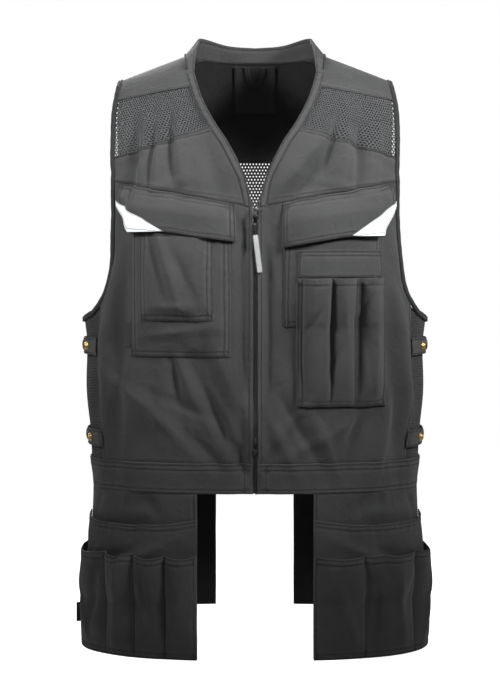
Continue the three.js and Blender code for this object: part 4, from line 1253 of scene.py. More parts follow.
    @staticmethod
    def nearest(outer: Array, sewn: list[Array]) -> Pair:
        """Each vertex's distance to the nearest stitch line, and how far along that line it is."""
        fine, runs = [], []
        for line in sewn:
            run = run_of(line)
            marks = np.arange(0, run[-1], 1.0)
            fine.append(read_at(line, run, marks))
            runs.append(marks)
        cloud, along = np.vstack(fine), np.concatenate(runs)
        tree = KDTree(len(cloud))
        for i, point in enumerate(cloud):
            tree.insert(point, i)
        tree.balance()
        found = [tree.find(point) for point in outer.reshape(-1, 3)]
        distance = np.array([hit[2] for hit in found]).reshape(outer.shape[:2])
        return np.minimum(distance, 20.0), along[[hit[1] for hit in found]].reshape(outer.shape[:2])

    @staticmethod
    def area(grid: Array) -> float:
        """Area of a grid of points, in square millimetres."""
        a, b = grid[:-1, :-1] - grid[1:, 1:], grid[:-1, 1:] - grid[1:, :-1]
        return float(np.linalg.norm(np.cross(a, b), axis=-1).sum() / 2)

    def mesh(self, inner: Array, outer: Array, seam: Array) -> Thing:
        """The closed mesh between two grids.

        Args:
            inner: points of the inner face.
            outer: points of the outer face.
            seam: each point's distance to a stitch line.

        Returns:
            The object.
        """
        tall, wide = inner.shape[:2]
        back = tall * wide
        index = np.arange(back).reshape(tall, wide)
        quad = np.stack([index[:-1, :-1], index[:-1, 1:], index[1:, 1:], index[1:, :-1]], axis=-1).reshape(-1, 4)
        faces = [*quad.tolist(), *(quad[:, ::-1] + back).tolist()]
        rim = [*index[0, :], *index[1:, -1], *index[-1, -2::-1], *index[-2:0:-1, 0]]
        faces += [[a, a + back, b + back, b] for a, b in zip(rim, rim[1:] + rim[:1])]
        points = np.vstack([inner.reshape(-1, 3), outer.reshape(-1, 3)])
        piece = mesh_object(self.name, points, faces, self.finish.material())
        across = np.concatenate([np.zeros((tall, 1)), np.linalg.norm(np.diff(outer, axis=1), axis=-1)], axis=1)
        down = np.concatenate([np.zeros((1, wide)), np.linalg.norm(np.diff(outer, axis=0), axis=-1)], axis=0)
        across, down = np.cumsum(across, axis=1), np.cumsum(down, axis=0)
        across = across - across[:, -1:] / 2
        plane = np.stack([across, down], axis=-1).reshape(-1, 2) * MM
        plane = np.vstack([plane, plane])
        layer = piece.data.uv_layers.new(name="cloth")
        corners = np.zeros(len(piece.data.loops), np.int32)
        piece.data.loops.foreach_get("vertex_index", corners)
        layer.data.foreach_set("uv", plane[corners].astype(np.float32).ravel())
        marks = piece.data.attributes.new("seam", "FLOAT", "POINT")
        flat = seam.reshape(-1).astype(np.float32)
        marks.data.foreach_set("value", np.concatenate([flat, flat]))
        return piece


def dressed(node: str, place: Place, finish: ClothFinish, **how: Any) -> Thing:
    """Makes the cloth that stands for one node, from the fields of a Cloth."""
    return Cloth(node + "_cloth", place, finish, (node,), **how).build()


@dataclass
class NetCloth:
    """A see-through panel of staggered holes over a place."""

    name: str
    place: Place
    node: str
    pitch: float = 5.0
    hole: float = 0.5
    thick: float = NET_CLOTH
    rests_on: tuple[str, ...] = ("back_panel",)
    # By default a net takes the darker copy of the net, painted shade for the sides and back.
    finish: ClothFinish = NET_PAINTED_SHADE

    def build(self) -> Thing:
        """Lays a honeycomb of faces over the place, opens each one and gives the strands a thickness."""
        sizer = Cloth(self.name, self.place, NET, (self.node,))
        width, length = sizer.measure()
        columns = round(width / self.pitch)
        rise = self.pitch * math.sqrt(3) / 2
        rows = round(length / rise)
        corners: dict[tuple[int, int], int] = {}
        shares: list[tuple[float, float]] = []

        def corner(a: int, b: int) -> int:
            """Number of a corner, by half columns and third rows."""
            a, b = min(max(a, 0), 2 * columns), min(max(b, 0), 3 * rows)
            if (a, b) not in corners:
                corners[(a, b)] = len(shares)
                shares.append((a / (2 * columns), b / (3 * rows)))
            return corners[(a, b)]

        faces = []
        for j in range(rows + 1):
            for i in range(columns + 1):
                a, b = 2 * i + j % 2, 3 * j
                ring = [(a, b - 2), (a + 1, b - 1), (a + 1, b + 1), (a, b + 2), (a - 1, b + 1), (a - 1, b - 1)]
                face = list(dict.fromkeys(corner(*place) for place in ring))
                if len(face) > 2:
                    faces.append(face)
        u, v = np.array(shares).T
        points, normals = self.place(u, v)
        points = points - normals * SEAM_GAP
        mesh = bpy.data.meshes.new(self.name)
        mesh.from_pydata((points * MM).tolist(), [], faces)
        self.drop_flat(mesh)
        layer = mesh.uv_layers.new(name="cloth")
        plane = np.stack([u * width, v * length], axis=-1) * MM
        for loop in mesh.loops:
            layer.data[loop.index].uv = plane[loop.vertex_index]
        values = {"Hole": self.hole, "Material": self.finish.material()}
        piece = run_tree(placed(self.name + "_host", mesh), pierced_cloth(), self.name + "_open", values)
        solid = piece.modifiers.new("strands", "SOLIDIFY")
        solid.thickness = self.thick * MM
        solid.offset = -1.0
        piece = baked(piece, self.name)
        piece.data.shade_smooth()
        own(piece, self.finish, (self.node,))
        declare((width, length), Held.STRETCHED, self.rests_on)
        return piece

    @staticmethod
    def drop_flat(mesh: bpy.types.Mesh) -> None:
        """Drops the faces without area and turns the rest outward."""
        work = bmesh.new()
        work.from_mesh(mesh)
        flat = [f for f in work.faces if f.calc_area() < 1e-8]
        bmesh.ops.delete(work, geom=flat, context="FACES_ONLY")
        if sum(f.normal.xy.dot(f.calc_center_median().xy) for f in work.faces) < 0:
            bmesh.ops.reverse_faces(work, faces=work.faces)
        work.to_mesh(mesh)
        work.free()


def skin(name: str, rings: Array, finish: Finish) -> Thing:
    """A closed piece over rings of points, with flat ends."""
    count, sides = rings.shape[:2]
    index = np.arange(count * sides).reshape(count, sides)
    after = np.roll(index, -1, axis=1)
    faces = np.stack([index[:-1], after[:-1], after[1:], index[1:]], axis=-1).reshape(-1, 4).tolist()
    faces += [index[0, ::-1].tolist(), index[-1].tolist()]
    return mesh_object(name, rings.reshape(-1, 3), faces, finish.material())


def tube(name: str, path: Array, radius: float, finish: Finish, sides: int = 8) -> Thing:
    """A round cord along a path, with closed ends.

    Args:
        name: the piece's name.
        path: points in millimetres.
        radius: half its thickness.
        finish: its finish.
        sides: corners round it.

    Returns:
        The piece.
    """
    ahead = unit(np.gradient(path, axis=0))
    side = unit(np.cross(ahead, np.array([0.123, 0.231, 0.965])))
    other = np.cross(ahead, side)
    turns = np.linspace(0, 2 * math.pi, sides, endpoint=False)
    ring = side[:, None] * np.cos(turns)[None, :, None] + other[:, None] * np.sin(turns)[None, :, None]
    scale = np.ones(len(path))
    scale[[0, -1]] = 0.55
    return skin(name, path[:, None] + ring * radius * scale[:, None, None], finish)


def lathe(
    name: str, radius: float, profile: Sequence[tuple[float, float]], seat: Array, axis: Array, finish: Finish
) -> Thing:
    """A turned piece with closed ends.

    Args:
        name: the piece's name.
        radius: its greatest radius.
        profile: pairs of a share of the radius and a height.
        seat: the point at height nothing.
        axis: its direction.
        finish: its finish.

    Returns:
        The piece.
    """
    axis = unit(axis)
    side = unit(np.cross(axis, [0.0, 0.0, 1.0]))
    other = np.cross(axis, side)
    turns = np.linspace(0, 2 * math.pi, 32, endpoint=False)
    around = np.cos(turns)[:, None] * side + np.sin(turns)[:, None] * other
    rings = [seat + axis * high + around * (radius * share) for share, high in profile]
    return skin(name, np.array(rings), finish)


@dataclass
class VestBody:
    """The fronts, back, yokes, mesh insets, side panels and waistband."""

    net_pitch: float = 4.4
    back_net_pitch: float = 5.0

    def build(self) -> None:
        """Makes both fronts and the back."""
        for side in Side:
            self.upper_front(side)
            self.lower_front(side)
        self.back()

    def upper_front(self, side: Side) -> None:
        """Chest panel, mesh inset and the yoke over the shoulder."""
        word = side.word
        chest = BODY.front_patch(side, NET_SEAM, CHEST_SEAM, neck_cloth, armhole_cloth)
        dressed(
            f"chest_panel_{word}", chest, CANVAS,
            rows=((TOP, 2.0), (TOP, 8.0), (FOOT, 2.0), (FOOT, 8.0)), tucks={INNER: BAND_WIDTH / 2},
            hems={FOOT: 9.0, TOP: 9.0}, hem_rise=0.5, group="fronts", seed=1.0 + side.value,
            rests_on=(f"shoulder_mesh_{word}",),
        )
        net = BODY.front_patch(
            side, lambda x: YOKE_SEAM(x) + LAP, lambda x: NET_SEAM(x) - LAP, neck_cloth, armhole_cloth
        )
        # The shoulder net takes the lighter copy of the net, painted light where the shoulders face the lamps.
        NetCloth(
            f"shoulder_mesh_{word}_net", net, f"shoulder_mesh_{word}", self.net_pitch, 0.6,
            rests_on=(f"shoulder_yoke_{word}",), finish=NET,
        ).build()

        def yoke(u: Array, v: Array) -> Pair:
            """The canvas over the shoulder, from the mesh's seam to behind the ridge."""
            def seam(x: Array) -> Array:
                """Climb of the front seam."""
                return BODY.climb_at(x, YOKE_SEAM(x) + SEAM_GAP / 2)

            behind = math.pi / 2 + SHOULDER_SEAM_BEHIND + LAP / 220
            edge = BAND_WIDTH - 2.0

            def across(x: Array) -> Array:
                """Distance from the centre plane at these shares."""
                climb = lerp(seam(x), behind, v)
                return lerp(BODY.neck_at(climb, edge), BODY.armhole_at(climb) - 1.5, u)

            x = settle(np.full_like(u + v, BODY.half_neck), across)
            return BODY.on_shoulders(side.value * x, lerp(seam(x), behind, v))

        dressed(
            f"shoulder_yoke_{word}", yoke, CANVAS,
            rows=((TOP, 2.0), (TOP, 8.0)), hems={TOP: 9.0}, hem_rise=0.5, tucks={FOOT: LAP},
            group="yokes", seed=2.0, rests_on=("back_yoke",),
        )
        band = BODY.front_patch(
            side, lambda x: -COLLAR_START + 0 * x, CHEST_SEAM, BODY.neck_edge, lambda z: BODY.neck_edge(z, BAND_WIDTH)
        )
        dressed(
            f"neck_band_{word}", band, CANVAS, inner=-SEAM_GAP, thick=DOUBLE_CLOTH,
            step=2.2, rows=((INNER, 2.0), (OUTER, 1.6)), group="neck", seed=3.0, round_edge=1.2,
            held=Held.FOLDED, rests_on=(f"chest_panel_{word}",),
        )

    def lower_front(self, side: Side) -> None:
        """Lower front, side mesh and the front of the waistband."""
        word = side.word
        front = BODY.front_patch(
            side, lambda x: CHEST_SEAM(x) + LAP, lambda x: WAIST_TOP - LAP + 0 * x, lambda z: ZIP_LIP + 0 * z, seam_cloth
        )
        dressed(
            f"front_panel_{word}", front, CANVAS,
            rows=((INNER, 5.5), (OUTER, 2.2)), hems={INNER: 5.5}, group="fronts", seed=4.0 + side.value,
            hem_rise=0.4, tucks={TOP: LAP, FOOT: LAP}, rests_on=(f"chest_panel_{word}",),
        )

        def net(u: Array, v: Array) -> Pair:
            """The side panel, from under the arm to the waistband."""
            dip = 13.0 * np.sin(math.pi * np.clip(u, 0, 1)) ** 0.6
            z = lerp(-330.0 - dip, WAIST_TOP - LAP, v)
            first = BODY.turn_at(BODY.side_seam(z) - LAP, z)
            return BODY.on_torso(side.value * lerp(first, math.pi - first, u), z)

        NetCloth(
            f"side_mesh_{word}_net", net, f"side_mesh_{word}", self.net_pitch, 0.36, rests_on=(f"front_panel_{word}",)
        ).build()

        def waist(u: Array, v: Array) -> Pair:
            """The front of the waistband."""
            z = lerp(WAIST_TOP - SEAM_GAP / 2, -BODY.hem, v)
            last = math.pi / 2 - SEAM_GAP / BODY.section(z)[0]
            return BODY.on_torso(side.value * lerp(BODY.turn_at(ZIP_LIP + 0 * z, z), last, u), z)

        dressed(
            f"waistband_front_{word}", waist, CANVAS, inner=-SEAM_GAP,
            thick=DOUBLE_CLOTH, rows=((TOP, 2.2), (TOP, 8.5), (FOOT, 6.0), (INNER, 5.5)),
            group="waistband", seed=5.0 + side.value, round_edge=1.2, held=Held.FOLDED,
            rests_on=(f"front_panel_{word}",), pucker=0.45,
        )

    def back(self) -> None:
        """Back yoke, mesh inset, lower back and the back of the waistband."""
        seam_climb = math.pi / 2 + SHOULDER_SEAM_BEHIND + 2 * SEAM_GAP / BODY.neck_arc
        inset = BAND_WIDTH - 2.0
        corner_x = float(BODY.neck_at(np.array(seam_climb), inset))

        def yoke(u: Array, v: Array) -> Pair:
            """The back yoke, from the neck and shoulder seams to the mesh."""
            def top(x: Array) -> Array:
                """Climb of the upper edge."""
                return np.where(np.abs(x) < corner_x, BODY.neck_climb(x, inset), seam_climb)

            def foot(x: Array) -> Array:
                """Climb of the seam to the mesh."""
                return math.pi - BODY.climb_at(x, -BACK_NET_TOP + SEAM_GAP / 2 + 0 * x)

            share = 2 * u - 1
            x = settle(share * BODY.half_shoulder, lambda g: share * (BODY.armhole_at(lerp(top(g), foot(g), v)) - 1.5))
            return BODY.on_shoulders(x, lerp(top(x), foot(x), v))

        corner = corner_x / (float(BODY.armhole_at(np.array(seam_climb))) - 1.5)
        dressed(
            "back_yoke", yoke, LINING, rows=((FOOT, 2.2), (TOP, 2.0)), group="back", seed=6.0,
            extra_columns=((1 - corner) / 2, (1 + corner) / 2), rests_on=("collar",),
        )

        def patch(upper: float, lower: float) -> Place:
            """A stretch of the back between two heights."""
            def place(u: Array, v: Array) -> Pair:
                """Points and normals at shares across and down."""
                z = lerp(upper - SEAM_GAP / 2, lower + SEAM_GAP / 2, v)
                return BODY.on_back((2 * u - 1) * seam_cloth(z), z)

            return place

        NetCloth(
            "back_mesh_net", patch(LAP - BACK_NET_TOP, -BACK_NET_FOOT - LAP), "back_mesh", self.back_net_pitch, 0.44,
            rests_on=("back_yoke",),
        ).build()
        dressed(
            "back_panel", patch(-BACK_NET_FOOT, WAIST_TOP - LAP), CANVAS,
            rows=((TOP, 2.2), (TOP, 8.0), (INNER, 2.2), (OUTER, 2.2)), group="back", seed=7.0,
            tucks={FOOT: LAP},
            rests_on=("back_mesh",),
        )

        def band(u: Array, v: Array) -> Pair:
            """The back of the waistband."""
            z = lerp(WAIST_TOP - SEAM_GAP / 2, -BODY.hem, v)
            return BODY.on_torso(lerp(math.pi / 2, 1.5 * math.pi, u), z)

        dressed(
            "waistband_back", band, CANVAS, inner=-SEAM_GAP, thick=DOUBLE_CLOTH,
            rows=((TOP, 2.2), (TOP, 8.5), (FOOT, 6.0)), group="waistband", seed=8.0, round_edge=1.2,
            held=Held.FOLDED, rests_on=("back_panel",), pucker=0.45,
        )


@dataclass
class Trim:
    """The armhole bindings, the collar with its piping, the neck label and the hanger loop."""

    path_steps: int = 320
    binding_flat: float = 10.0
    label_width: float = 56.0
    label_top: float = 8.0
    label_foot: float = 70.0
    hanger_spread: float = 30.0
    hanger_drop: float = 27.0
    hanger_width: float = 7.0
    stands: tuple[float, ...] = (0.0, 0.15, 0.3, 0.45, 0.62, 0.82, 1.0)
    leans: tuple[float, ...] = (0.2, 0.4, 0.95, 1.6, 2.1, 1.6, 1.0)
    rises: tuple[float, ...] = (0.96, 1.06, 1.2, 1.2, 1.08, 0.6, 0.06)

    def build(self) -> None:
        """Makes the trim of both armholes and of the neck."""
        for side in Side:
            self.binding(side)
        self.collar()
        self.neck_label()

    def binding(self, side: Side) -> None:
        """The folded tape round an armhole."""
        points, normals = BODY.armhole_path(side, self.path_steps)
        middle = points.mean(axis=0)
        along = np.roll(points, -1, axis=0) - np.roll(points, 1, axis=0)
        aside = unit(np.cross(normals, along))
        aside = aside * np.sign(((points - middle) * aside).sum(axis=1))[:, None]
        turns = np.linspace(0, 2 * math.pi, 14, endpoint=False)
        wide = 3.5 + 3.6 * np.sign(np.cos(turns)) * np.abs(np.cos(turns)) ** 0.6
        out = 0.85 + 1.75 * np.sign(np.sin(turns)) * np.abs(np.sin(turns)) ** 0.6
        run = np.arange(self.path_steps)[:, None]
        out = out[None, :] + 0.18 * np.sin(run * 0.9) * (out > 1)[None, :]
        ring = points[:, None] + aside[:, None] * wide[None, :, None] + normals[:, None] * out[..., None]
        count, sides = ring.shape[:2]
        index = np.arange(count * sides).reshape(count, sides)
        after = np.roll(index, -1, axis=0)
        faces = np.stack([index, np.roll(index, -1, axis=1), np.roll(after, -1, axis=1), after], axis=-1)
        name = f"armhole_binding_{side.word}"
        piece = mesh_object(name + "_tape", ring.reshape(-1, 3), faces.reshape(-1, 4).tolist(), TAPE.material())
        length = np.linalg.norm(np.diff(points, axis=0), axis=1).sum()
        layer = piece.data.uv_layers.new(name="cloth")
        girth = 22.0
        for polygon in piece.data.polygons:
            i, k = divmod(polygon.index, sides)
            for corner in polygon.loop_indices:
                j, m = divmod(piece.data.loops[corner].vertex_index, sides)
                j = count if i == count - 1 and j == 0 else j
                m = sides if k == sides - 1 and m == 0 else m
                layer.data[corner].uv = (m / sides * girth * MM, j / count * length * MM)
        own(piece, TAPE, (name,))
        declare((self.binding_flat, length), Held.FOLDED, ["front_panel_" + side.word])
        for aside_at in (1.6, 5.6):
            line = points + aside * aside_at + normals * 2.7
            SEWING.add("bindings", np.vstack([line, line[:1]]))

    def stand(self, turn: Array, v: Array) -> Array:
        """Points of the collar: round the neck from the wearer's right front end, and up."""
        far = np.abs(turn)
        ratio = np.clip(far / COLLAR_RIDGE, 0, 1)
        x = (BODY.neck_at_ridge + BAND_WIDTH) * np.sin(ratio * math.pi / 2)
        behind = BODY.shoulders(np.sign(turn) * x, BODY.neck_climb(x, BAND_WIDTH))
        start = np.array(-COLLAR_START)
        low = float(BODY.climb_at(BODY.neck_edge(start, BAND_WIDTH), start + SEAM_GAP))
        climb = lerp(math.pi / 2, low, np.clip((far - COLLAR_RIDGE) / (1 - COLLAR_RIDGE), 0, 1))
        front = BODY.shoulders(np.sign(turn) * BODY.neck_at(climb, BAND_WIDTH), climb)
        foot = np.where((far < COLLAR_RIDGE)[..., None], behind, front)
        lean = BAND_WIDTH * Curve(self.stands, self.leans).at(far)
        rise = COLLAR_HEIGHT * Curve(self.stands, self.rises).at(far)
        swing = math.pi / 2 * np.maximum(0, 1 - far / COLLAR_RIDGE)
        zero = np.zeros_like(swing)
        inward = np.stack([-np.sign(turn) * np.cos(swing), -np.sin(swing), zero], axis=-1)
        return foot + inward * (lean * v)[..., None] + np.stack([zero, zero, rise * v], axis=-1)

    def collar(self) -> None:
        """The stand collar and the piping along its foot inside."""
        def place(u: Array, v: Array) -> Pair:
            """Points and normals round the neck."""
            u, v = np.broadcast_arrays(u, v)
            return BODY.standing(self.stand, 2 * u - 1, v, 0.001, 0.001)

        dressed(
            "collar", place, CANVAS, inner=-DOUBLE_CLOTH / 2, thick=DOUBLE_CLOTH, step=2.5,
            rows=((TOP, 2.0), (FOOT, 4.5)), group="neck", seed=9.0, round_edge=1.2, held=Held.FOLDED,
            rests_on=("back_yoke",),
        )
        turns = np.linspace(-0.97, 0.97, 160)
        points, normals = BODY.standing(self.stand, turns, 0.16 + 0 * turns, 0.001, 0.001)
        path = points - normals * 2.1
        own(tube("collar_piping", path, 1.0, TAPE), TAPE)

    def neck_label(self) -> None:
        """The bare woven label and the hanger loop that hangs over it."""
        def label(u: Array, v: Array) -> Pair:
            """Points and normals inside the back neck."""
            return BODY.on_back(lerp(-0.5, 0.5, u) * self.label_width, -lerp(self.label_top, self.label_foot, v))

        dressed(
            "neck_label", label, LABEL, inner=-2.2, thick=LABEL_CLOTH, step=2.0, group="neck_label",
            rows=((TOP, 1.8), (INNER, 1.6), (OUTER, 1.6), (FOOT, 1.8)), seed=2.5, pucker=0.2,
            rests_on=("back_yoke",), round_edge=0.5,
        )

        def loop(u: Array, v: Array) -> Pair:
            """Points and normals of the hanging loop."""
            angle = math.pi * (1 - u)
            reach = self.hanger_spread / 2 - self.hanger_width * v
            drop = self.hanger_drop - self.hanger_width * v
            return BODY.on_back(reach * np.cos(angle), -self.label_top - drop * np.sin(angle))

        Cloth(
            "hanger_loop_tape", loop, TAPE, ("hanger_loop",), inner=-3.9, thick=0.9, step=1.6, round_edge=0.6,
            rests_on=("collar",), held=Held.FOLDED, sheet=False,
        ).build()


@dataclass(frozen=True)
class Patch:
    """A rectangle on a front, as distances from the centre plane and depths."""

    inner: float
    outer: float
    top: float
    foot: float

    def place(self, u: Array, v: Array) -> Pair:
        """Points and normals on the front."""
        return BODY.on_front(lerp(self.inner, self.outer, u), -lerp(self.top, self.foot, v))

    def shares(self, x: Array, z: Array) -> Pair:
        """The shares across and down of a place in the front view."""
        u = np.clip((x - self.inner) / (self.outer - self.inner), 0, 1)
        return u, np.clip((-z - self.top) / (self.foot - self.top), 0, 1)

    def spot(self, u: Array, v: Array) -> Pair:
        """Distance from the centre plane and height of these shares."""
        return lerp(self.inner, self.outer, u), -lerp(self.top, self.foot, v)


@dataclass
class FrontPockets:
    """The pockets, flaps and reflective corners on both fronts."""

    first: float = CLOTH + LAYER
    depth: float = 10.0
    phone_depth: float = 8.0
    tool_depth: float = 12.0
    flap_stand: float = 15.0
    flap_middle: float = 0.58
    flap_corner: float = 0.86
    chest: Patch = Patch(-31.5, -158, 214, 393)
    phone: Patch = Patch(-51, -143, 226, 347)
    patch: Patch = Patch(37, 160, 214, 355)
    band: Patch = Patch(55, 160, 258, 292)
    tool: Patch = Patch(54, 163, 293, 456)
    tubes: tuple[tuple[float, float], ...] = ((0.06, 0.36), (0.38, 0.64), (0.7, 0.97))

    def build(self) -> None:
        """Makes the pockets of the right front, then of the left."""
        flat = (Crease(0.12, 0.3, 70, 5, 3, 2.5), Crease(0.06, 0.55, 60, 4, 0, -2.0), Crease(0.5, 0.82, 60, 6, 84, 2.0))
        over_chest = self.pocket("chest_pocket", self.chest, lambda x, z: self.first + 0 * x, self.depth, 1.1, flat)
        full = (
            Crease(0.6, 0.46, 55, 6, -18, 3.4), Crease(0.76, 0.35, 55, 5, -14, -3.0), Crease(0.38, 0.55, 45, 6, -26, -3.0),
            Crease(0.5, 0.86, 8, 40, 0, 3.0), Crease(0.9, 0.5, 60, 4, 0, 2.0), Crease(0.25, 0.3, 40, 6, 10, 2.5),
        )
        self.pocket("phone_pocket", self.phone, over_chest, self.phone_depth, 2.3, full)
        self.label()
        over_patch = self.pocket("patch_pocket", self.patch, lambda x, z: self.first + 0 * x, self.depth, 3.4, ())
        self.tools(over_patch)
        self.flap(Side.RIGHT, -26, -174.5, (248, 236, 203), 194)
        self.flap(Side.LEFT, 35, 176.5, (255, 241, 204), 195)

    def pocket(
        self, name: str, where: Patch, under: Callable, depth: float, seed: float, creases: tuple[Crease, ...]
    ) -> Callable:
        """A patch pocket that swells off what it is sewn to.

        Args:
            name: its node's name.
            where: its place.
            under: distance off the body of what it is sewn to.
            depth: how far it swells.
            seed: which rumples it gets.
            creases: its own folds.

        Returns:
            Its outer distance off the body, as a function of place.
        """
        def inner(u: Array, v: Array) -> Array:
            """Distance of the inner face."""
            return under(*where.spot(u, v)) + depth * swell(u) * fill(v)

        dressed(
            name, where.place, CANVAS, inner=inner, step=2.4, hems={TOP: 14.0},
            rows=((INNER, 1.8), (INNER, 7.5), (OUTER, 1.8), (OUTER, 7.5), (FOOT, 1.8),
                  (FOOT, 7.5), (TOP, 14.0)),
            creases=creases, group="front_pockets", rumple=0.7, seed=seed, held=Held.LAID,
            rests_on=(self.seat(where),),
        )

        def above(x: Array, z: Array) -> Array:
            """Distance of the outer face, with room for the next layer."""
            return inner(*where.shares(x, z)) + CLOTH + 1.0

        return above

    def seat(self, where: Patch) -> str:
        """The panel that a pocket is sewn to."""
        return "front_panel_right" if where.inner < 0 else "front_panel_left"

    def label(self) -> None:
        """The bare label in the chest pocket's side seam."""
        place = Patch(-158.4, -166.6, 349, 382).place
        dressed(
            "pocket_label", place, LABEL, inner=self.first, thick=1.0, step=1.2,
            round_edge=0.5, sheet=False,
        )

    def tools(self, under: Callable) -> None:
        """The band across the patch pocket and the three tubes below it."""
        band = self.band

        def on_band(u: Array, v: Array) -> Array:
            """Distance of the band."""
            return under(*band.spot(u, v)) + 0.4

        dressed(
            "tool_pocket_band", band.place, CANVAS, inner=on_band, step=2.4,
            rows=((TOP, 1.8), (TOP, 7.0), (FOOT, 1.8), (INNER, 1.8), (OUTER, 1.8)),
            group="front_pockets", seed=4.5, held=Held.LAID, rests_on=("patch_pocket",),
        )
        tool = self.tool

        def inner(u: Array, v: Array) -> Array:
            """Distance of the tubes' inner face."""
            return under(*tool.spot(u, v)) + self.tool_depth * fullness(u, self.tubes) * (1 - v**5)

        def divider(share: float) -> Callable:
            """A stitch line down between two tubes."""
            return lambda t: (np.full_like(t, share), lerp(0.01, 0.99, t))

        marks = tuple(s for tube_at in self.tubes for s in tube_at)
        dressed(
            "tool_pocket", tool.place, CANVAS, inner=inner, step=2.2, hems={TOP: 8.0},
            rows=((TOP, 8.0), (FOOT, 2.0), (FOOT, 7.5), (INNER, 2.0), (OUTER, 1.4)),
            lines=(divider(0.055), divider(0.37), divider(0.655), divider(0.685)), extra_columns=marks,
            creases=(
                Crease(0.16, 0.35, 22, 4, -30, -3.0), Crease(0.3, 0.5, 60, 3.5, 0, 2.0), Crease(0.42, 0.6, 24, 4, -24, -3.0),
                Crease(0.52, 0.3, 40, 4, 6, 2.0), Crease(0.72, 0.22, 26, 4, -28, -3.5), Crease(0.86, 0.5, 60, 4, 2, 2.0),
                Crease(0.78, 0.6, 50, 4, 8, -2.0),
            ),
            group="front_pockets", rumple=0.4, seed=5.6, held=Held.GATHERED, rests_on=("patch_pocket",), pucker=0.3,
        )

    def flap(self, side: Side, inner_x: float, outer_x: float, drops: tuple[float, float, float], corner: float) -> None:
        """A pocket flap with its slanted corner and the reflective patch over it.

        Args:
            side: the wearer's side.
            inner_x: where it starts at the centre.
            outer_x: where it ends.
            drops: depths of its lower edge at the centre, before the corner and at the end.
            corner: depth of the reflective patch's upper corner.
        """
        word = side.word
        middle, cut = self.flap_middle, self.flap_corner

        def top(x: Array) -> Array:
            """Depth of the flap's seam."""
            return -CHEST_SEAM(np.abs(x)) + SEAM_GAP

        def foot(u: Array) -> Array:
            """Depth of its lower edge."""
            before = lerp(drops[0], drops[1], np.minimum(u / middle, 1))
            return before + (drops[2] - drops[1]) * np.maximum(0, (u - cut) / (1 - cut))

        def place(u: Array, v: Array) -> Pair:
            """Points and normals of the flap."""
            x = lerp(inner_x, outer_x, u)
            return BODY.on_front(x, -lerp(top(x), foot(u), v))

        def inner(u: Array, v: Array) -> Array:
            """Distance of its inner face."""
            across = 0.2 + 0.8 * (1 - np.abs(2 * u - 1) ** 4)
            return self.first + self.flap_stand * across * soften(np.minimum(1, v / 0.5))

        def above(x: Array, z: Array) -> Array:
            """Distance of its outer face by place in the front view."""
            u = np.clip((x - inner_x) / (outer_x - inner_x), 0, 1)
            v = np.clip((-z - top(x)) / (foot(u) - top(x)), 0, 1)
            return inner(u, v) + CLOTH + 0.8

        dressed(
            f"pocket_flap_{word}", place, CANVAS, inner=inner, step=2.4,
            thick=CLOTH + 0.5, rows=((TOP, 2.0), (TOP, 8.0), (INNER, 2.0), (INNER, 7.0),
                                     (FOOT, 2.0), (FOOT, 7.0), (OUTER, 2.0), (OUTER, 7.0)),
            extra_columns=(cut, middle), group="flaps", seed=6.0 + side.value, held=Held.FOLDED, round_edge=1.2,
            rests_on=(self.seat(self.chest if side is Side.RIGHT else self.patch),), pucker=0.3,
        )

        def patch(u: Array, v: Array) -> Pair:
            """Distance and height of the reflective patch."""
            share = lerp(1.0, middle, u)
            high = lerp(corner, drops[1] - 1.2, u)
            return lerp(inner_x, outer_x, share), -lerp(high, foot(share) - 0.6, v)

        dressed(
            f"flap_reflector_{word}", lambda u, v: BODY.on_front(*patch(u, v)), SILVER, inner=lambda u, v: above(*patch(u, v)), thick=0.5, step=1.6, round_edge=0.3,
            rows=((TOP, 1.4), (FOOT, 4.5)), group="reflectors", seed=1.0, held=Held.LAID, pucker=0.1,
            extra_columns=((1 - cut) / (1 - middle),), rests_on=(f"pocket_flap_{word}",),
        )


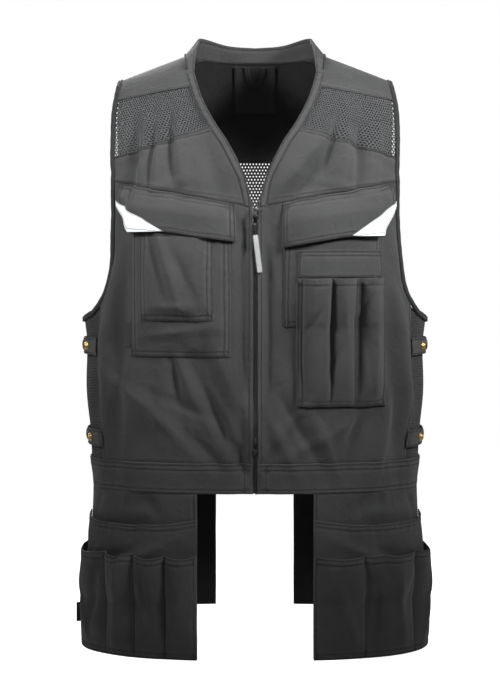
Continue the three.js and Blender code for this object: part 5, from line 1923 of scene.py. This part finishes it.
@dataclass
class SideStraps:
    """The straps over the side mesh, with their press studs and caps."""

    height: float = 22.0
    depths: tuple[float, float] = (382.0, 501.0)
    underlap: float = 2.0
    stud_turn: float = 74.0
    cap_turn: float = 90.0
    stud_radius: float = 6.0
    cap_radius: float = 7.5
    stud: tuple[tuple[float, float], ...] = (
        (0.2, -0.3), (0.98, -0.3), (1.0, 0.5), (0.97, 1.1), (0.86, 1.5), (0.8, 1.4), (0.78, 2.0), (0.74, 3.0),
        (0.64, 3.8), (0.48, 4.3), (0.25, 4.6), (0.05, 4.7),
    )
    cap: tuple[tuple[float, float], ...] = (
        (0.2, -0.3), (0.97, -0.3), (1.0, 0.4), (0.97, 1.2), (0.88, 1.9), (0.8, 2.1), (0.55, 2.7), (0.25, 2.95),
        (0.05, 3.0),
    )

    def build(self) -> None:
        """Makes both straps of each side."""
        for side in Side:
            for i, depth in enumerate(self.depths):
                self.strap(side, depth, f"{side.word}_{i + 1}")

    def strap(self, side: Side, depth: float, word: str) -> None:
        """One strap with its stud and cap."""
        def place(u: Array, v: Array) -> Pair:
            """Points and normals round the side."""
            z = -depth + lerp(0.5, -0.5, v) * self.height
            first = BODY.turn_at(BODY.side_seam(z) - self.underlap, z)
            return BODY.on_torso(side.value * lerp(first, math.pi - first, u), z)

        inner = CLOTH + 0.8
        dressed(
            f"side_strap_{word}", place, CANVAS, inner=inner, thick=1.9, step=2.2,
            rows=((TOP, 2.0), (FOOT, 2.0), (INNER, 3.0), (OUTER, 3.0)), group="side_straps",
            seed=depth / 50, held=Held.STRETCHED, rests_on=(f"front_panel_{side.word}",), round_edge=1.0,
        )
        for node, metal, turn, radius, profile, finish in (
            ("press_stud", "brass", self.stud_turn, self.stud_radius, self.stud, BRASS),
            ("stud_cap", "metal", self.cap_turn, self.cap_radius, self.cap, DARK_METAL),
        ):
            seat, out = BODY.on_torso(side.value * math.radians(turn), np.array(-depth))
            seat = seat + out * (inner + 1.9)
            piece = lathe(f"{node}_{word}_{metal}", radius, profile, seat, out, finish)
            own(piece, finish, (f"{node}_{word}",))


@dataclass
class Holsters:
    """The holsters that hang from the waistband, front and rear, with the bare label."""

    length: float = 213.0
    inner: float = 74.0
    outer_turn: float = 86.0
    upper_mouth: float = 36.0
    lower_mouth: float = 80.0
    depth: float = 11.0
    backing: tuple[Crease, ...] = (
        Crease(0.5, 0.16, 9, 50, 0, 3.0), Crease(0.75, 0.12, 18, 8, 40, -3.0), Crease(0.25, 0.12, 18, 8, -40, -3.0),
        Crease(0.45, 0.06, 14, 6, 10, 2.0),
    )
    rear_length: float = 183.0
    rear_inner: float = 54.0
    rear_outer: float = 190.0
    rear_depth: float = 16.0
    creases: dict[Side, tuple[Crease, ...]] = field(
        default_factory=lambda: {
            Side.RIGHT: (
                Crease(0.1, 0.55, 60, 5, 8, 3.0), Crease(0.26, 0.4, 60, 5, -6, -3.0), Crease(0.45, 0.5, 70, 6, 4, 3.0),
                Crease(0.66, 0.45, 60, 7, 16, -3.5), Crease(0.8, 0.6, 50, 7, -14, 3.0),
            ),
            Side.LEFT: (
                Crease(0.14, 0.5, 60, 7, 16, 3.0), Crease(0.34, 0.42, 60, 6, -4, -3.5), Crease(0.5, 0.5, 60, 8, 8, 3.0),
                Crease(0.6, 0.3, 40, 6, -20, -2.5), Crease(0.82, 0.55, 60, 8, -8, 3.0),
            ),
        }
    )
    rooms: dict[Side, tuple[float, ...]] = field(
        default_factory=lambda: {Side.RIGHT: (0.0, 0.155, 0.338, 0.555, 1.0), Side.LEFT: (0.0, 0.27, 0.66, 1.0)}
    )

    def build(self) -> None:
        """Makes the holsters of both sides."""
        for side in Side:
            self.front(side)
            self.rear(side)
        self.label()

    def strip(self, side: Side, start: float, end: float, sag: Callable[[Array], Array] | None = None) -> Place:
        """A stretch of a front holster between two depths, whose upper edge may sag."""
        def place(u: Array, v: Array) -> Pair:
            """Points and normals."""
            z = -lerp(start, end, v)
            if sag is not None:
                z = z - sag(u) * (1 - v) ** 2
            near = BODY.turn_at(self.inner + 0 * z, z)
            return BODY.on_torso(side.value * lerp(near, math.radians(self.outer_turn), u), z)

        return place

    def front(self, side: Side) -> None:
        """The backing panel, the upper pocket and the divided lower pocket."""
        word, rooms = side.word, self.rooms[side]
        tubes = list(zip(rooms, rooms[1:]))
        foot = BODY.hem + self.length
        dressed(
            f"holster_back_{word}", self.strip(side, BODY.hem - LAP, foot), CANVAS,
            rows=((INNER, 3.0), (OUTER, 3.0)), hems={INNER: 7.0, OUTER: 7.0}, hem_rise=0.5,
            tucks={TOP: LAP}, creases=self.backing,
            group="holsters", seed=1.5, rests_on=(f"waistband_front_{word}",),
        )
        mouth, low = BODY.hem + self.upper_mouth, foot - self.length / 3
        first = CLOTH + LAYER

        def upper(u: Array, v: Array) -> Array:
            """Distance of the upper pocket."""
            return first + 0.6 + self.depth * swell(u) * fill(v)

        dressed(
            f"holster_upper_pocket_{word}", self.strip(side, mouth, low, lambda u: 9 * swell(u) - 3), CANVAS,
            inner=upper, step=2.4, rows=((TOP, 2.0), (TOP, 8.0)), hems={TOP: 8.0}, group="holsters",
            creases=(Crease(0.3, 0.4, 40, 7, 60, 2.5), Crease(0.6, 0.5, 50, 8, 70, -2.5), Crease(0.75, 0.6, 40, 6, 40, 2.5)),
            rumple=0.6, seed=2.5 + side.value, held=Held.LAID, rests_on=(f"holster_back_{word}",),
        )
        lower_top = BODY.hem + self.lower_mouth

        def lower(u: Array, v: Array) -> Array:
            """Distance of the lower pocket, with a tube for each compartment."""
            depth = lerp(lower_top, foot, v)
            below = np.clip((depth - mouth) / (low - mouth), 0, 1)
            full = fullness(u, tubes) * (1 - 0.6 * ease(0.55, 1.0, u) * (1 - v))
            return upper(u, below) + CLOTH + 1.2 + self.depth * full * (1 - v**4)

        def divider(share: float) -> Callable:
            """A stitch line between two compartments."""
            return lambda t: (np.full_like(t, share), lerp(0.01, 0.97, t))

        def scallop(u: Array) -> Array:
            """How far each compartment's mouth hangs down."""
            return 4.0 * fullness(u, tubes) - 2.0 - 3.0 * ease(0.85, 1.0, u)

        dressed(
            f"holster_lower_pocket_{word}", self.strip(side, lower_top, foot, scallop), CANVAS, inner=lower, step=2.3,
            rows=((TOP, 2.0), (TOP, 9.0), (FOOT, 2.5), (FOOT, 8.0), (INNER, 2.0), (OUTER, 2.0)),
            lines=tuple(divider(s) for s in rooms[1:-1]), extra_columns=rooms[1:-1], hems={TOP: 9.0, FOOT: 8.0},
            creases=self.creases[side], group="holsters", rumple=0.6, seed=3.5 + side.value, held=Held.GATHERED,
            rests_on=(f"holster_back_{word}",), pucker=0.3,
        )

    def rear(self, side: Side) -> None:
        """The rear pouch: a back wall and a swelling front wall, joined along the foot."""
        top, foot = BODY.hem + SEAM_GAP, BODY.hem + self.rear_length

        def on_wall(u: Array, z: Array) -> Pair:
            """Points and normals of the back wall."""
            near = BODY.turn_at(self.rear_inner + 0 * z, z)
            far = BODY.turn_at(self.rear_outer + 0 * z, z)
            return BODY.on_torso(side.value * (math.pi - lerp(near, far, u)), z)

        def place(u: Array, v: Array) -> Pair:
            """Points and normals, down the back wall and up the front one."""
            return on_wall(u, -lerp(top, foot, np.minimum(1, np.minimum(2 * v, 2 * (1 - v)))))

        def room(u: Array, v: Array) -> Array:
            """How far the front wall stands off."""
            return CLOTH + LAYER + self.rear_depth * swell(u) * fill(v)

        wall = Cloth(f"rear_holster_{side.word}_cloth", place, LINING, (f"rear_holster_{side.word}",))
        wall.flat = wall.measure()
        u, downs = np.linspace(0, 1, 50), np.linspace(0, 1, 60)
        rows = [(d, False) for d in downs] + [(d, True) for d in downs[::-1]]
        grids = []
        for near_gap, far_gap in ((0.0, CLOTH), (CLOTH, 0.0)):
            grid = []
            for down, in_front in rows:
                points, normals = on_wall(u, np.full_like(u, -lerp(top, foot - near_gap, down)))
                ripple = 0.8 * np.sin(u * 9 + down * 5) * np.sin(down * 7) * swell(u) * (1 - down)
                away = room(u, down) + ripple + far_gap if in_front else np.full_like(u, near_gap)
                grid.append(points + normals * away[:, None])
            grids.append(np.array(grid))
        outer, inner = grids
        piece = wall.mesh(inner, outer, np.full(inner.shape[:2], 20.0))
        own(piece, LINING, wall.nodes)
        declare(wall.flat, Held.FOLDED, ("waistband_back",))
        for edge in (0.025, 0.975):
            points, normals = on_wall(edge, np.linspace(-top, -foot, 60))
            away = room(edge, downs) + CLOTH
            SEWING.add("rear_holsters", points + normals * away[:, None])

    def label(self) -> None:
        """The bare label at the right holster's outer edge, too narrow for a sheet's flat size."""
        low, high = (np.array(c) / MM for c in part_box("holster_label"))
        u, v = np.meshgrid(np.linspace(0, 1, 6), np.linspace(0, 1, 12))
        x, z = lerp(high[0], low[0], u), lerp(high[2], low[2] + 1, v) - u * (1 - 0.5 * v)
        grids = [np.stack([x, y + 0.35 * np.sin(3 * u + 2 * v), z], axis=-1) for y in (low[1], high[1])]
        sheet = Cloth("holster_label_cloth", self.strip(Side.RIGHT, 700, 710), LABEL, ("holster_label",))
        piece = sheet.mesh(grids[0], grids[1], np.full(u.shape, 20.0))
        own(piece, LABEL, ("holster_label",))


@dataclass
class Zip:
    """The zip: its tapes and teeth behind the front edges, its sliders and their pulls."""

    tape_half: float = 13.0
    top: float = 204.0
    foot: float = 567.0
    pitch: float = 2.4
    tape_inner: float = -1.9
    strip_width: float = 7.4
    strip_length: float = 48.0
    tilt: float = 7.0

    def build(self) -> None:
        """Makes the tapes, the teeth, the metal and the strip."""
        for side in Side:
            self.tape(side)
        self.teeth()
        for node, body in (
            ("zip_slider_top", "vest"),
            ("zip_slider_bottom", "vest"),
            ("zip_pull_tab", "zip_pull"),
            ("zip_bottom_tab", "lower_zip_pull"),
        ):
            self.metal(node, body)
        self.strip()

    def tape(self, side: Side) -> None:
        """One zip tape, sewn behind a front edge."""
        def place(u: Array, v: Array) -> Pair:
            """Points and normals."""
            return BODY.on_front(side.value * lerp(0.06, self.tape_half, u), -lerp(self.top, self.foot - 1, v))

        nodes = ("zip_chain",) if side is Side.RIGHT else ()
        Cloth(
            f"zip_tape_{side.word}", place, TAPE, nodes, inner=self.tape_inner, thick=0.8, step=2.6, round_edge=0.4,
            held=Held.STRETCHED, rests_on=(f"front_panel_{side.word}",),
        ).build()

    def teeth(self) -> None:
        """Both rows of teeth along the tapes' edges."""
        lines = []
        for side, shift in ((-1, 0.0), (1, self.pitch / 2)):
            z = -np.linspace(self.foot - 1.5, self.top + 1 + shift, 160)
            base, normal = BODY.on_front(np.full_like(z, side * 1.15), z - shift)
            lines.append(base + normal * 0.1)
        values = {
            "Pitch": self.pitch * MM, "Length": 1.35 * MM, "Width": 3.1 * MM, "Height": 1.7 * MM,
            "Material": DARK_METAL.material(),
        }
        tree = copies_along("teeth_along_a_tape", Copy.TOOTH)
        piece = run_tree(paths("teeth", lines), tree, "zip_teeth", values)
        piece.data.shade_flat()
        own(piece, DARK_METAL)

    def metal(self, node: str, body: str) -> None:
        """A slider or tab: the frame's own solid with rounded edges."""
        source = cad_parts[node]
        mesh = source.data.copy()
        work = bmesh.new()
        work.from_mesh(mesh)
        bmesh.ops.remove_doubles(work, verts=work.verts, dist=1e-6)
        bmesh.ops.dissolve_limit(work, angle_limit=math.radians(1), verts=work.verts, edges=work.edges)
        work.to_mesh(mesh)
        work.free()
        host = placed(node + "_host", mesh)
        bevel = host.modifiers.new("edges", "BEVEL")
        bevel.width = 0.28 * MM
        bevel.segments = 2
        bevel.limit_method = "ANGLE"
        bevel.angle_limit = math.radians(30)
        bevel.harden_normals = True
        piece = baked(host, node + "_metal")
        piece.data.materials.clear()
        piece.data.materials.append(DARK_METAL.material())
        piece.data.shade_smooth()
        own(piece, DARK_METAL, (node,), body)

    def strip(self) -> None:
        """The cord link, its knot and the reflective strip of the pull."""
        tab_low, tab_high = (np.array(c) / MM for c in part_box("zip_pull_tab"))
        low, high = (np.array(c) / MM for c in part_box("zip_pull_strip"))
        y = (low[1] + high[1]) / 2
        start = np.array([0.0, y, tab_low[2] + 3.0])
        tilt = math.radians(self.tilt)
        along = np.array([math.sin(tilt), 0.0, -math.cos(tilt)])
        aside = np.array([math.cos(tilt), 0.0, math.sin(tilt)])
        head = np.array([0.0, y, high[2] - 1.0])
        own(tube("zip_pull_cord", np.linspace(start, head + along * 3, 8), 0.9, TAPE), TAPE, (), "zip_pull")
        u, v = np.meshgrid(np.linspace(-0.5, 0.5, 13), np.linspace(0, 1, 60))
        taper = 1 - 0.25 * (1 - ease(0, 0.08, v))
        bow = 0.35 * np.sin(v * 9) + 0.25 * np.sin(v * 4 + u)
        down = (v * self.strip_length * 0.99)[..., None]
        middle = head + along * down + aside * (u * self.strip_width * taper)[..., None]
        edge = 1 - np.abs(2 * u) ** 4
        half = (0.35 + 0.4 * edge) * (0.75 + 0.25 * ease(0, 0.03, 1 - v))
        away = np.array([0.0, -1.0, 0.0])
        outer = middle + away * (half + 0.3 * bow)[..., None]
        inner = middle - away * (half - 0.3 * bow)[..., None]
        holder = Cloth("zip_pull_strip_cloth", BODY.on_front, PULL, ("zip_pull_strip",))
        # Its distance to its own long edges goes in as the seam distance, so its material paints shade in a band along
        # each edge and a highlight just inside it.
        piece = holder.mesh(inner, outer, np.minimum(20, (0.5 - np.abs(u)) * self.strip_width))
        own(piece, PULL, ("zip_pull_strip",), "zip_pull")


@dataclass
class Studio:
    """The pale floor, the soft lights and the camera at the photograph's angle."""

    distance: float = 2.6
    eye: float = -0.27
    aim: float = -0.3897
    shift_x: float = -0.00665
    lens: float = 100.6
    floor: float = -0.786

    def build(self) -> None:
        """Makes the set round the vest."""
        self.ground()
        self.surroundings()
        self.light("key", (1.0, -0.85, 0.4), (0.02, -0.12, -0.1), 0.3, 4.8, 50)
        self.light("fill", (-1.0, -0.75, 0.4), (-0.04, -0.12, -0.08), 0.3, 3.0, 48)
        self.light("front", (0.25, -2.9, 1.0), (0.05, -0.1, -0.2), 0.7, 1.2, 40)
        self.light("back", (-0.6, 1.9, 0.9), (0.0, 0.0, -0.3), 0.7, 8, 80)
        self.light("right_side", (-1.9, 0.2, 0.5), (0.0, 0.0, -0.35), 0.7, 2, 80)
        self.light("left_side", (1.9, 0.2, 0.5), (0.0, 0.0, -0.35), 0.7, 2.6, 80)
        camera = bpy.data.cameras.new("camera")
        camera.lens = self.lens
        camera.clip_end = 50
        eye = placed("camera", camera)
        eye.location = (self.shift_x, -self.distance, self.eye)
        look = Vector((self.shift_x, 0, self.aim)) - eye.location
        eye.rotation_euler = look.to_track_quat("-Z", "Y").to_euler()
        bpy.context.scene.camera = eye
        bpy.context.scene.view_settings.view_transform = "Standard"

    def light(
        self, name: str, where: Sequence[float], aim: Sequence[float], size: float, power: float, spread: float
    ) -> None:
        """One soft area light, whose beam may be narrowed to a spread in degrees."""
        lamp = bpy.data.lights.new(name, "AREA")
        lamp.size = size
        lamp.energy = power
        lamp.spread = math.radians(spread)
        holder = placed(name, lamp)
        holder.location = where
        holder.rotation_euler = (Vector(aim) - Vector(where)).to_track_quat("-Z", "Y").to_euler()

    def surroundings(self) -> None:
        """A world that looks white and lights the vest only a little."""
        world = bpy.data.worlds.new("studio")
        bpy.context.scene.world = world
        world.use_nodes = True
        tree = world.node_tree
        shine = tree.nodes["Background"]
        shine.inputs["Color"].default_value = (1.0, 1.0, 1.0, 1.0)
        seen = tree.nodes.new("ShaderNodeLightPath")
        strength = tree.nodes.new("ShaderNodeMapRange")
        strength.inputs["To Min"].default_value = 0.035
        strength.inputs["To Max"].default_value = 1.0
        tree.links.new(seen.outputs["Is Camera Ray"], strength.inputs["Value"])
        tree.links.new(strength.outputs["Result"], shine.inputs["Strength"])

    def ground(self) -> None:
        """A pale round floor that looks as bright as the surroundings."""
        angles = np.linspace(0, 2 * math.pi, 96, endpoint=False)
        points = [(7 * math.cos(a), 7 * math.sin(a), self.floor) for a in angles]
        material, shader = blank_material("pale_floor")
        nodes, links = material.node_tree.nodes, material.node_tree.links
        coordinate = nodes.new("ShaderNodeTexCoord")
        noise = nodes.new("ShaderNodeTexNoise")
        noise.inputs["Scale"].default_value = 3.0
        links.new(coordinate.outputs["Object"], noise.inputs["Vector"])
        colour = ramp(material.node_tree, noise.outputs[0], (0.86, 0.86, 0.86), (0.9, 0.9, 0.9))
        links.new(colour, shader.inputs["Base Color"])
        shader.inputs["Roughness"].default_value = 0.9
        shader.inputs["Emission Color"].default_value = (1.0, 1.0, 1.0, 1.0)
        seen = nodes.new("ShaderNodeLightPath")
        glow = nodes.new("ShaderNodeMapRange")
        glow.inputs["To Max"].default_value = 0.97
        links.new(seen.outputs["Is Camera Ray"], glow.inputs["Value"])
        links.new(glow.outputs["Result"], shader.inputs["Emission Strength"])
        mesh = bpy.data.meshes.new("floor")
        mesh.from_pydata(points, [], [tuple(range(96))])
        mesh.materials.append(material)
        placed("floor", mesh)


def main() -> None:
    """Builds the vest's sub-assemblies in order, then the studio."""
    logging.basicConfig(level=logging.INFO, format="%(name)s: %(message)s")
    for assembly in (VestBody(), Trim(), FrontPockets(), SideStraps(), Holsters(), Zip()):
        assembly.build()
        log.info("%s is made", type(assembly).__name__)
    SEWING.sew()
    Studio().build()


if __name__ == "__main__":
    main()
